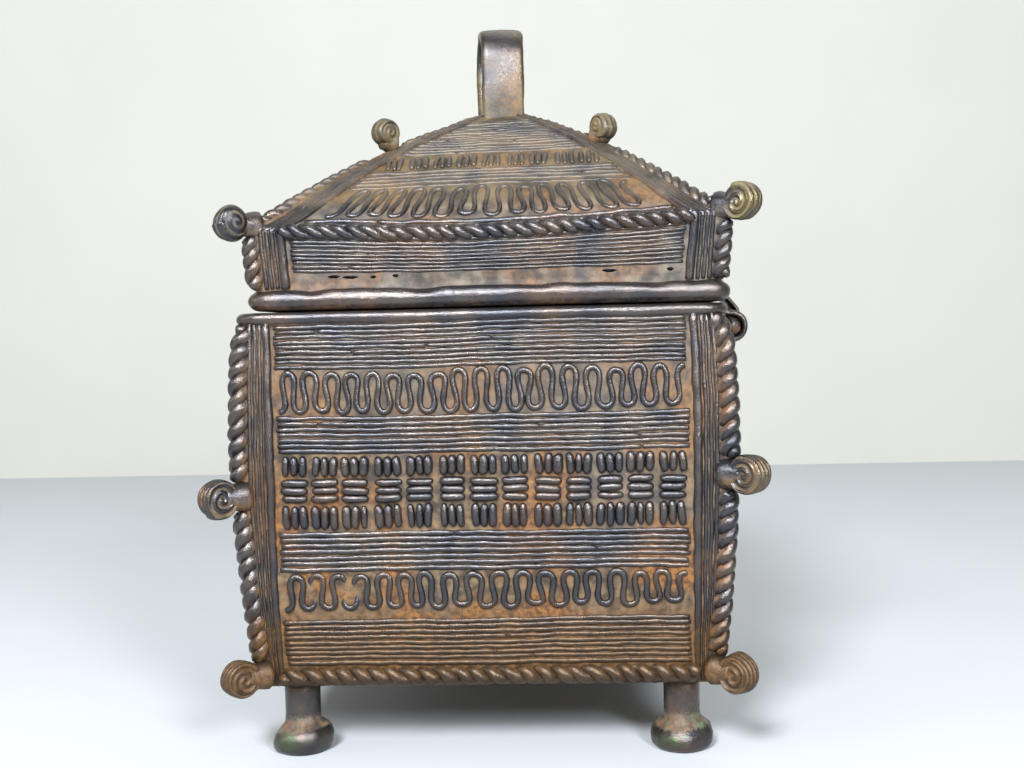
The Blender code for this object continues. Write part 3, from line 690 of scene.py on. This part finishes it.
def post_threads(piece, surface, side, hand, start, end, count, seed, fine):
    """The upright threads between a panel and the corner rope."""
    s = np.linspace(start, end, count)
    at = post_width - 0.1
    for index, radius in enumerate(post_wire_radii):
        inward = at - radius
        at -= 2 * radius + post_wire_gap
        across = hand * (surface.half(s) - inward * surface.post(s))
        across = across + 0.1 * wander(s, seed + index, 14.0)
        d = -0.08 + 0.1 * wander(s, seed + index + 9, 10.0)
        path = surface.place(side, across, s, d)
        width = radius * surface.post(s) * (1 + 0.1 * wander(s, seed + index + 5, 5.0))
        piece.tube(path, surface.outward(side, s), width, 8 if fine else 6)


def corner_line(surface, corner, s, out):
    """Places along a corner, a little outside its edge. Corner 0 is between sides 0 and 1."""
    half = surface.half(s) - skin_inset + out - surface.corner_cut(s)
    places = surface.place(corner, half, s, out - surface.corner_cut(s))
    diagonal = on_side(corner, np.ones_like(s), np.ones_like(s), np.zeros_like(s)) / math.sqrt(2)
    return places, diagonal


def box_ropes(material):
    """Corner posts, corner ropes and bottom ropes of the box."""
    piece = Piece("casket_ropes", "casket")
    for side in range(4):
        fine = side == 0
        for hand in (-1, 1):
            post_threads(piece, BOX, side, hand, underside + 0.4, rim_start + 0.4, 46,
                         500 + side * 40 + hand * 15, fine)
        seed = 700 + side * 10
        reach = float(BOX.panel(underside)) + 0.6
        x = np.linspace(-reach, reach, 40)
        level = underside + 2.1
        places = BOX.place(side, x, np.full_like(x, level), 0.0)
        rope(piece, places, BOX.outward(side, np.full_like(x, level)), *bottom_rope, 1, seed)
        middle_knob = middle_knob_heights[(side + 3) % 4]
        for low, high in ((low_knob_height + knob_cover, middle_knob - knob_cover),
                          (middle_knob + knob_cover, rim_start - 0.6)):
            s = np.linspace(low, high, 30)
            line, diagonal = corner_line(BOX, side, s, -0.55)
            rope(piece, line, diagonal, *corner_rope, 1, seed + 3)
    return piece.finish(material, centring)


# Roof: each ornament band's lower and upper edge, as shares of the way up the slope
roof_bands = {
    "low_ribs": (0.035, 0.085), "meander": (0.09, 0.26), "middle_ribs": (0.265, 0.385),
    "weave": (0.39, 0.50), "top_ribs": (0.52, 0.90),
}


def lid_threads(material):
    """Threads, ropes and meanders of the lid."""
    piece = Piece("lid_threads", "lid")

    def up(share):
        """The place a share of the way up the roof."""
        return lid_wall_height + roof_slope * share

    band = {name: [up(share) for share in shares] for name, shares in roof_bands.items()}
    weave_low, weave_top = band["weave"]
    for side in range(4):
        fine = side == 0
        seed = 900 + side * 40
        rib_band(piece, LID, side, 3.2, lid_wall_height - 1.5, 9, seed, fine)
        x = np.linspace(-1, 1, 60)
        s = np.full_like(x, lid_wall_height + 0.1)
        half = LID.panel(s) + 0.8
        rope(piece, LID.place(side, x * half, s, -0.35), LID.outward(side, s), *eave_rope, 1,
             seed + 1)
        rib_band(piece, LID, side, *band["low_ribs"], 2, seed + 2, fine)
        meander(piece, LID, side, *band["meander"], 13 if fine else 11, lid_wire_radius,
                seed + 3, fine, ends=(-0.90, 0.90), depth=-0.05)
        rib_band(piece, LID, side, *band["middle_ribs"], 5, seed + 4, fine, depth=-0.12)
        basket(piece, LID, side, ((weave_top, True),), weave_low, 9 if fine else 7, seed + 5, fine,
               thick=0.9)
        rib_band(piece, LID, side, *band["top_ribs"], 14, seed + 6, fine, depth=-0.1)
        for hand in (-1, 1):
            post_threads(piece, LID, side, hand, 0.2, lid_reach - 0.6, 60, seed + 11 + hand, fine)
        for low, high, hand in ((0.8, lid_wall_height - 2.5, 1), (up(0.07), up(0.50), 1),
                                (up(0.65), up(0.97), 1)):
            s = np.linspace(low, high, 30)
            line, diagonal = corner_line(LID, side, s, -0.6)
            radius, pitch = lid_corner_rope
            rope(piece, line, diagonal + (0, 0, 0.4), radius * LID.post(s), pitch, hand, seed + 14)
    return piece.finish(material, centring + lid_offset)


def corner_place(corner, reach, height, tilt, middle_x):
    """The way that looks out over a corner, and the place that a knob takes there."""
    diagonal = math.pi / 4 + corner * math.pi / 2
    out = np.array([math.cos(diagonal), math.sin(diagonal), 0.0])
    x, y = reach * math.sqrt(2) * out[:2]
    return out, np.array([x + middle_x, y, height + tilt * x])


def scroll(piece, corner, radius, width, reach, height, seed, tilt=0.0, threads=4, ball=0.0,
           wear_and_pit_shade=0.0, middle_x=0.0):
    """A wound scroll on a corner: threads round its rim and a spiral on both faces.

    ball rounds it off towards a ball, from 0 to 1.
    """
    turns = 40
    rim = 5 * threads
    face = 12
    theta = math.tau * np.arange(turns) / turns
    rng = np.random.default_rng(seed)
    start = rng.uniform(0, math.tau)
    rows = []
    crests = []
    face_share = np.linspace(0.0, 1.0, face, endpoint=False)[1:]

    def spiral_depth(share, angle):
        phase = share * 2.2 - (angle - start) / math.tau
        return 0.5 + 0.5 * np.cos(math.tau * phase)

    def profile_row(r, h, crest):
        rows.append(np.stack([r * np.cos(theta), r * np.sin(theta), h], axis=1))
        crests.append(crest)

    step = 0.35 * (((theta - start) % math.tau) / math.tau - 0.5)
    for share in face_share:
        bump = spiral_depth(share, theta)
        dome = ball * (1 - share ** 2) * 1.2
        profile_row((radius - 0.5) * share + 0 * theta, -width / 2 + 0.55 - 0.5 * bump * (1 - ball) - dome,
                    0.25 + 0.6 * bump)
    for index in range(rim + 1):
        share = index / rim
        bump = abs(math.sin(math.pi * share * threads))
        barrel = 0.25 + 0.9 * ball
        r = radius - barrel * (2 * share - 1) ** 2 - 0.35 * (1 - bump) * (1 - 0.5 * ball) + step
        profile_row(r, (share - 0.5) * width + 0 * theta, 0.2 + 0.75 * bump + 0 * theta)
    for share in face_share[::-1]:
        bump = spiral_depth(share, -theta)
        dome = ball * (1 - share ** 2) * 1.2
        profile_row((radius - 0.5) * share + 0 * theta, width / 2 - 0.55 + 0.5 * bump * (1 - ball) + dome,
                    0.25 + 0.6 * bump)
    net = np.array(rows)
    axis_out, origin = corner_place(corner, reach, height, tilt, middle_x)
    axis_side = np.array([-axis_out[1], axis_out[0], 0.0])
    up = np.array([0.0, 0.0, 1.0])
    places = origin + net[..., 0:1] * axis_out + net[..., 1:2] * up + net[..., 2:3] * axis_side
    places = uneven(places.reshape(-1, 3), seed, 9.0, 0.12).reshape(places.shape)
    first, columns = piece.grid(places, np.array(crests), wear_and_pit_shade)
    piece.fan(first, columns, places[0].mean(axis=0), 0.6, wear_and_pit_shade, flip=True)
    piece.fan(first + (len(rows) - 1) * columns, columns, places[-1].mean(axis=0), 0.6, wear_and_pit_shade)


def seat(piece, corner, reach, height, radius, depth, tilt=0.0, middle_x=0.0):
    """The smooth lump of metal that carries a scroll on its corner."""
    out, centre = corner_place(corner, reach, height, tilt, middle_x)
    steps = np.linspace(-depth, 1.5, 8)
    size = radius * (1.0 - 0.35 * smooth(-depth, 1.5, steps))
    piece.tube(centre + steps[:, None] * out, (0, 0, 1.0), size, 14)


def box_scrolls(material):
    """The knobs at the foot and half-way up each corner of the box."""
    piece = Piece("casket_scrolls", "casket")
    for corner in range(4):
        low_reach = float(BOX.half(low_knob_height)) + low_knob_out
        middle = middle_knob_heights[corner]
        reach = half_widest + middle_knob_out
        scroll(piece, corner, knob_radius, knob_width, low_reach - 0.35, low_knob_height, 60 + corner)
        scroll(piece, corner, knob_radius, knob_width, reach - 0.35, middle, 70 + corner, wear_and_pit_shade=0.25)
        seat(piece, corner, low_reach - 2.2, low_knob_height, 3.2, 3.0)
        seat(piece, corner, reach - 2.2, middle, 3.2, 3.0)
    return piece.finish(material, centring)


# Casting flaws in the plain band of the lid's front, drawn as patches of painted shade: how far along each
# is, and half its length
flaws = ((-29.6, 1.2), (-26.4, 1.5), (-22.0, 0.6), (-17.6, 0.6), (24.0, 1.4), (35.6, 0.7))


def lid_flaw_shadows(material):
    """Flat black patches of painted shade, standing in for the shadow in the pits where the metal didn't
    fill the mould.
    """
    piece = Piece("lid_flaw_shadows", "lid")
    for index, (x, reach) in enumerate(flaws):
        s = 2.35 + 0.15 * math.cos(index * 2.0)
        across = x + reach * np.linspace(-1.0, 1.0, 7)
        line = np.full(7, s) + 0.06 * wander(across, index, 2.0)
        places = LID.place(0, across, line, -0.02)
        width = 0.42 * np.array([0.3, 0.7, 1.0, 0.9, 1.0, 0.6, 0.25])
        # A thin flattened patch; its value of -1.0 turns it black in the material, as painted shade in
        # place of a hole's shadow
        piece.tube(places, LID.outward(0, line), width, 8, 0.25, -1.0)
    return piece.finish(material, centring + lid_offset)


def lid_scrolls(material):
    """The knobs at the lid's eave corners and on its hips. The front left one is a worn ball."""
    piece = Piece("lid_scrolls", "lid")
    hip = lid_wall_height + roof_slope * hip_knob_share
    hip_height = float(LID.height(hip)) + hip_knob_rise
    hip_reach = float(LID.half(hip)) + hip_knob_out
    hip_x = apex_shift * hip_knob_share
    reach = lid_half_eave + eave_knob_out
    height = eave_height + eave_knob_rise
    for corner in range(4):
        ball = 1.0 if corner == 2 else 0.0
        scroll(piece, corner, eave_knob_radius, knob_width, reach - 0.3, height, 80 + corner,
               eave_tilt, 3, ball, 0.8)
        seat(piece, corner, reach - 2.2, height - 0.3, 2.8, 3.0, eave_tilt)
        scroll(piece, corner, hip_knob_radius, hip_knob_width, hip_reach, hip_height + 0.3,
               90 + corner, 0.0, 3, 0.5, 0.3, hip_x)
        seat(piece, corner, hip_reach - 0.5, hip_height - 1.8, 2.4, 1.2, middle_x=hip_x)
    return piece.finish(material, centring + lid_offset)


def foot_crest(height, radius):
    """How bare a foot is rubbed: most round the pad, least in the neck above it."""
    if radius > 5.0:
        return 0.75
    if 4.6 < height < 6.5:
        return 0.3
    return 0.6


def box_feet(material):
    """Legs and their squashed pads."""
    piece = Piece("casket_feet", "casket")
    sides = 40
    lump = 0.35
    theta = math.tau * np.arange(sides) / sides
    outline = ((0.0, pad_radius - 1.6), (0.25, pad_radius - 0.7), (1.2, pad_radius - 0.1),
               (2.6, pad_radius), (4.0, pad_radius - 0.4), (5.0, pad_radius - 1.4),
               (5.5, leg_radius + 0.3), (pad_height, leg_radius), (8.0, leg_radius - 0.1),
               (12.0, leg_radius - 0.08), (underside + 1.0, leg_radius))
    corners = ((-1, -1), (1, -1), (1, 1), (-1, 1))
    for index, (x, y) in enumerate(corners):
        x, y = x * leg_place, y * leg_place
        rows = []
        crests = []
        for height, radius in outline:
            share = smooth(0.0, 2.0, height) * (1 - smooth(4.5, 6.0, height))
            r = radius + lump * share * wander(theta * 6, 20 + index, 12.0) * 1.2
            slope = 0.12 * share * np.cos(theta - index)
            rows.append(np.stack([x + r * np.cos(theta), y + r * np.sin(theta),
                                  height + slope * r * (height > 0)], axis=1))
            crests.append(foot_crest(height, radius))
        loft(piece, rows, crests, (x, y, 0.0), (x, y, underside + 1.0))
    return piece.finish(material, centring)


def strap(piece, path, across, width, thickness, wear_edges=0.0, rows_across=10, seed=5):
    """A flat strap along a path: across is the way its width runs."""
    path = array(path)
    tangent = np.gradient(path, axis=0)
    tangent /= np.linalg.norm(tangent, axis=1)[:, None]
    across = np.broadcast_to(array(across), path.shape)
    out = np.cross(tangent, across)
    out /= np.linalg.norm(out, axis=1)[:, None]
    section = []
    for step in range(2 * rows_across):
        angle = math.tau * step / (2 * rows_across)
        cos, sin = math.cos(angle), math.sin(angle)
        section.append((np.sign(cos) * abs(cos) ** 0.35, np.sign(sin) * abs(sin) ** 0.75))
    section = np.array(section)
    width = np.broadcast_to(width, len(path))
    ring = (path[:, None, :] + section[None, :, 0, None] * across[:, None, :] * width[:, None, None] / 2
            + section[None, :, 1, None] * out[:, None, :] * thickness / 2)
    ring = uneven(ring.reshape(-1, 3), seed, 8.0, 0.1).reshape(ring.shape)
    edge = np.abs(section[:, 0]) ** 6
    crest = np.broadcast_to(0.55 + 0.4 * edge, ring.shape[:2])
    wear_and_pit_shade = np.broadcast_to(wear_edges * edge, ring.shape[:2])
    first, columns = piece.grid(ring, crest, wear_and_pit_shade)
    piece.fan(first, columns, path[0], 0.5, flip=True)
    piece.fan(first + (len(path) - 1) * columns, columns, path[-1], 0.5)


def lid_handle(material):
    """The strap handle, with its broad side to the front."""
    piece = Piece("lid_handle", "lid")
    base = float(LID.height(lid_reach)) - skin_inset
    middle = handle_span / 2 - handle_thickness / 2
    rise = handle_height - handle_span / 2 - handle_shrink
    legs_low = np.linspace(-2.5, rise, 14, endpoint=False)
    angles = np.radians(np.linspace(0, 180, 22))
    path = [(0, -middle, z) for z in legs_low]
    path += [(0, -middle * math.cos(angle), rise + middle * math.sin(angle)) for angle in angles]
    path += [(0, middle, z) for z in legs_low[::-1]]
    path = np.array(path)
    width = handle_width * (0.98 - 0.05 * smooth(6.0, 0.0, path[:, 2]))
    turn = math.radians(handle_turn)
    across = (math.cos(turn), math.sin(turn), 0.0)
    path = np.stack([apex_shift - path[:, 1] * math.sin(turn), path[:, 1] * math.cos(turn),
                     base + path[:, 2]], axis=1)
    strap(piece, path, across, width, handle_thickness - 0.15, 0.9)
    return piece.finish(material, centring + lid_offset)


def hinge_parts(material):
    """Staples and pin on the box, and the lid's tongue curled round the pin."""
    pivot = np.array([hinge_at[0], 0.0, hinge_at[2]])

    def curl(start, stop, count):
        """Places round the pin, as (x, z), between two angles."""
        angles = np.radians(np.linspace(start, stop, count))
        return [(strap_middle * math.cos(angle), strap_middle * math.sin(angle)) for angle in angles]

    staples = Piece("hinge_staples", "casket")
    path = [(-6.6, 3.35), (-3.5, 3.35), (-1.5, 3.05)]
    path += curl(90, -90, 18)
    path += [(-1.5, -3.05), (-3.5, -3.35), (-6.6, -3.5)]
    for hand in (-1, 1):
        places = [pivot + np.array([x, hand * staple_offset, z]) for x, z in path]
        strap(staples, places, (0, 1, 0), staple_width, strap_thickness, 0.3, 8, 31 + hand)
    staples.finish(material, shaped=False)

    tongue = Piece("hinge_tongue", "lid")
    path = [(-6.6, 8.3), (-4.6, 8.1), (-2.2, 7.4), (0.2, 5.9), (1.9, 3.9)]
    path = list(spline(path, 4)) + curl(38, -232, 26)
    places = [pivot + np.array([x, 0.0, z]) for x, z in path]
    strap(tongue, places, (0, 1, 0), tongue_width, strap_thickness, 0.4, 10, 37)
    tongue.finish(material, shaped=False)

    rod = Piece("hinge_rod", "casket")
    y = np.array([-rod_half, -rod_half + 0.2, -rod_half + 0.7, -8.0, 0.0, 8.0, rod_half - 0.7,
                  rod_half - 0.2, rod_half])
    size = rod_radius - np.array([1.05, 0.45, 0.0, 0.0, 0.0, 0.0, 0.0, 0.45, 1.05])
    path = np.stack([np.full_like(y, pivot[0]), y, np.full_like(y, pivot[2])], axis=1)
    rod.tube(path, (0, 0, 1), size, 20)
    thing = rod.finish(material, shaped=False)
    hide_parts("hinge_pin")


class Nodes:
    """Builds a material's node tree with short calls."""

    def __init__(self, name):
        self.material = bpy.data.materials.new(name)
        self.material.use_nodes = True
        self.tree = self.material.node_tree
        self.shader = self.tree.nodes["Principled BSDF"]

    def node(self, kind, values=None, **settings):
        """Makes a node. Its values are numbers, colours or the sockets that feed them."""
        made = self.tree.nodes.new(kind)
        for key, value in settings.items():
            setattr(made, key, value)
        for key, value in (values or {}).items():
            self.feed(made.inputs[key], value)
        return made

    def feed(self, socket, value):
        if isinstance(value, bpy.types.NodeSocket):
            self.tree.links.new(value, socket)
        else:
            socket.default_value = value

    def noise(self, scale, detail=3.0, roughness=0.55):
        place = self.node("ShaderNodeTexCoord").outputs["Object"]
        made = self.node("ShaderNodeTexNoise", {"Vector": place, "Scale": scale, "Detail": detail,
                                                "Roughness": roughness})
        return made.outputs["Fac"]

    def ramp(self, value, low, high, out_low=0.0, out_high=1.0):
        """Goes smoothly from out_low to out_high while the value goes from low to high."""
        made = self.node("ShaderNodeMapRange", {"Value": value, "From Min": low, "From Max": high,
                                                "To Min": out_low, "To Max": out_high},
                         interpolation_type="SMOOTHSTEP")
        return made.outputs["Result"]

    def math(self, operation, first, second=0.0):
        made = self.node("ShaderNodeMath", {0: first, 1: second}, operation=operation)
        made.use_clamp = operation in ("ADD", "SUBTRACT", "MULTIPLY_ADD")
        return made.outputs["Value"]

    def times(self, first, second):
        return self.math("MULTIPLY", first, second)

    def plus(self, first, second):
        return self.math("ADD", first, second)

    def mix(self, share, first, second):
        made = self.node("ShaderNodeMix", {"Factor": share}, data_type="RGBA")
        self.feed(made.inputs[6], first)
        self.feed(made.inputs[7], second)
        return made.outputs[2]

    def value(self, name):
        """A number that the mesh carries on its vertices."""
        return self.node("ShaderNodeAttribute", attribute_name=name).outputs["Fac"]


# Tones of the patina, a darker and a lighter one for each
dark_tones = (0.055, 0.055, 0.062, 1), (0.100, 0.086, 0.078, 1)
dust_tones = (0.022, 0.013, 0.007, 1), (0.150, 0.095, 0.046, 1)
grey_tones = (0.025, 0.019, 0.015, 1), (0.140, 0.108, 0.078, 1)
olive_tones = (0.022, 0.016, 0.008, 1), (0.100, 0.072, 0.036, 1)
rust_tones = (0.050, 0.017, 0.004, 1), (0.210, 0.085, 0.016, 1)
ochre = (0.040, 0.025, 0.009, 1)
worn_brass = (0.150, 0.118, 0.052, 1)
# Black, painted shade for the casting pits of the lid, as dark as the shadow in a hole
painted_pit_shade = (0.002, 0.002, 0.002, 1)
green = (0.075, 0.095, 0.055, 1)


def patina():
    """Dark brown brass: glossy on the crests, dusty tan in the recesses, brassy where worn.

    Levels are heights above the ground, in metres.
    """
    n = Nodes("dark_patina")
    crest = n.value("crest")
    wear_and_pit_shade = n.value("wear_and_pit_shade")
    height = n.node("ShaderNodeSeparateXYZ", {"Vector": n.node("ShaderNodeTexCoord").outputs["Object"]})
    level = height.outputs["Z"]
    broad = n.noise(34.0, 3.0)
    patches = n.noise(120.0, 4.0, 0.6)
    grains = n.noise(900.0, 3.0, 0.6)
    fine = n.noise(2600.0, 3.0, 0.7)
    pits = n.noise(1500.0, 4.0, 0.75)

    dark = n.mix(n.ramp(patches, 0.35, 0.65), *dark_tones)
    dust = n.mix(n.ramp(n.noise(420.0, 4.0), 0.35, 0.7), *dust_tones)
    grey = n.mix(n.ramp(n.noise(300.0, 4.0), 0.35, 0.7), *grey_tones)
    olive = n.mix(n.ramp(patches, 0.35, 0.65), *olive_tones)
    rust = n.mix(n.ramp(grains, 0.35, 0.65), *rust_tones)

    # Dust lies in the recesses, and the roof's is olive
    crest_noise = n.plus(crest, n.times(n.math("SUBTRACT", pits, 0.5), 1.2))
    dust_share = n.ramp(crest_noise, 0.66, 0.22)
    dust_amount = n.times(dust_share, n.ramp(broad, 0.25, 0.6, 0.55, 1.0))
    roof = n.times(n.ramp(level, 0.1085, 0.1115), n.ramp(level, 0.142, 0.134))
    olive_share = n.times(roof, n.ramp(crest_noise, 1.15, 0.35, 0.30, 1.0))

    # Red-brown stains grow towards the foot, where they are one band of ochre
    stained_down = n.ramp(level, 0.085, 0.024, 0.45, 1.0)
    low_stain = n.times(stained_down, n.ramp(level, 0.012, 0.018, 0.25, 1.0))
    foot_stain = n.times(n.ramp(level, 0.034, 0.022), n.ramp(level, 0.010, 0.016))
    stain_noise = n.ramp(n.noise(62.0, 4.0, 0.65), 0.46, 0.60)
    stain_noise = n.plus(stain_noise, n.times(foot_stain, 0.9))
    stain_crest = n.ramp(crest_noise, 1.05, 0.50, 0.10, 0.95)
    stain_crest = n.plus(stain_crest, n.times(foot_stain, 0.3))
    stain = n.times(n.times(stain_noise, low_stain), stain_crest)

    worn = n.times(wear_and_pit_shade, n.ramp(patches, 0.42, 0.60))
    green_patches = n.ramp(n.noise(260.0, 4.0), 0.50, 0.62)
    verdigris = n.times(n.ramp(level, 0.0095, 0.0060), green_patches)

    color = n.mix(dust_amount, dark, n.mix(n.ramp(level, 0.060, 0.095), dust, grey))
    color = n.mix(olive_share, color, olive)
    color = n.mix(stain, color, rust)
    color = n.mix(n.times(foot_stain, 0.6), color, ochre)
    color = n.mix(worn, color, worn_brass)
    # Painted shade: a negative value, given only to the lid's casting pits, makes the colour black as the
    # shadow in a hole would be; positive values are real wear
    color = n.mix(n.ramp(wear_and_pit_shade, -0.2, -0.8), color, painted_pit_shade)
    color = n.mix(verdigris, color, green)
    n.feed(n.shader.inputs["Base Color"], color)

    matt = n.plus(dust_amount, n.times(olive_share, 0.7))
    matt = n.plus(matt, n.times(stain, 0.5))
    n.feed(n.shader.inputs["Metallic"], n.ramp(matt, 0.0, 0.7, 0.90, 0.0))
    rough = n.plus(n.ramp(matt, 0.0, 0.9, 0.24, 0.65), n.times(n.math("SUBTRACT", patches, 0.5), 0.2))
    n.feed(n.shader.inputs["Roughness"], rough)
    n.shader.inputs["Specular IOR Level"].default_value = 0.45

    relief = n.plus(n.times(pits, 0.65), n.times(fine, 0.35))
    bump = n.node("ShaderNodeBump", {"Height": relief, "Distance": 0.00016, "Strength": 1.0})
    n.feed(n.shader.inputs["Normal"], bump.outputs["Normal"])
    return n.material


def plain_material(name, color, roughness=0.8):
    """A matt sheet with a very faint mottle."""
    n = Nodes(name)
    mottle = n.ramp(n.noise(9.0, 3.0), 0.3, 0.7)
    darker = tuple(value * 0.97 for value in color[:3]) + (1,)
    n.feed(n.shader.inputs["Base Color"], n.mix(mottle, color, darker))
    n.shader.inputs["Roughness"].default_value = roughness
    return n.material


def make_sheet(name, corners, color):
    """A flat sheet of the stage, which is no part of the object."""
    mesh = bpy.data.meshes.new(name)
    mesh.from_pydata(corners, [], [(0, 1, 2, 3)])
    mesh.materials.append(plain_material("pale_" + name, color))
    sheet = bpy.data.objects.new(name, mesh)
    bpy.context.scene.collection.objects.link(sheet)


def make_stage():
    """A pale floor and a pale cream backdrop behind it."""
    reach = 3.0
    back = 0.44
    make_sheet("floor", [(-reach, -reach, 0), (reach, -reach, 0), (reach, back, 0), (-reach, back, 0)],
               (0.43, 0.445, 0.465, 1))
    make_sheet("backdrop", [(-reach, back, 0), (reach, back, 0), (reach, back, reach),
                            (-reach, back, reach)], (0.47, 0.46, 0.42, 1))


def make_light(name, energy, size, place, color=(1, 1, 1)):
    """A round soft light that looks at the middle of the casket."""
    data = bpy.data.lights.new(name, "AREA")
    data.energy = energy
    data.color = color
    data.shape = "DISK"
    data.size = size
    lamp = bpy.data.objects.new(name, data)
    lamp.location = place
    way = np.array((0, 0, 0.08)) - np.array(place)
    lamp.rotation_euler = Vector(way).to_track_quat("-Z", "Y").to_euler()
    bpy.context.scene.collection.objects.link(lamp)


def make_lights():
    """Two cool lights in front, weak ones at the side and behind, and a soft room."""
    cool = (0.90, 0.95, 1.0)
    make_light("key", 12.0, 0.22, (-0.16, -0.62, 0.52), cool)
    make_light("second", 6.0, 0.18, (0.30, -0.60, 0.36), cool)
    make_light("side", 1.6, 0.4, (-0.80, -0.25, 0.35))
    make_light("back", 3.0, 0.8, (0.1, 0.38, 0.9))
    world = bpy.data.worlds.new("soft_room")
    world.use_nodes = True
    background = world.node_tree.nodes["Background"]
    background.inputs["Color"].default_value = (0.95, 0.96, 0.92, 1)
    background.inputs["Strength"].default_value = 0.52
    bpy.context.scene.world = world
    bpy.context.scene.view_settings.view_transform = "Standard"


# Camera: in front and a little to the right, tipped down and slightly rolled
camera_place = (0.01504, -0.27927, 0.08493)
camera_yaw = 2.494
camera_pitch = 2.652
camera_roll = -1.322
camera_focal_px = 1200.0
picture_width_px = 1024.0


def make_camera():
    """The camera at the photograph's viewing angle."""
    data = bpy.data.cameras.new("camera")
    data.sensor_width = 36.0
    data.lens = camera_focal_px * data.sensor_width / picture_width_px
    data.clip_start = 0.01
    camera = bpy.data.objects.new("camera", data)
    camera.location = camera_place
    turn = (Matrix.Rotation(math.radians(camera_yaw), 4, "Z")
            @ Matrix.Rotation(math.radians(90 - camera_pitch), 4, "X")
            @ Matrix.Rotation(math.radians(camera_roll), 4, "Z"))
    camera.rotation_euler = turn.to_euler()
    bpy.context.scene.collection.objects.link(camera)
    bpy.context.scene.camera = camera


def main():
    """Builds the whole scene."""
    brass = patina()
    make_camera()
    make_stage()
    make_lights()
    box_shell(brass)
    box_ribs(brass)
    box_wires(brass)
    box_ropes(brass)
    box_scrolls(brass)
    box_feet(brass)
    lid_shell(brass)
    lid_threads(brass)
    lid_flaw_shadows(brass)
    lid_scrolls(brass)
    lid_handle(brass)
    hinge_parts(brass)


main()
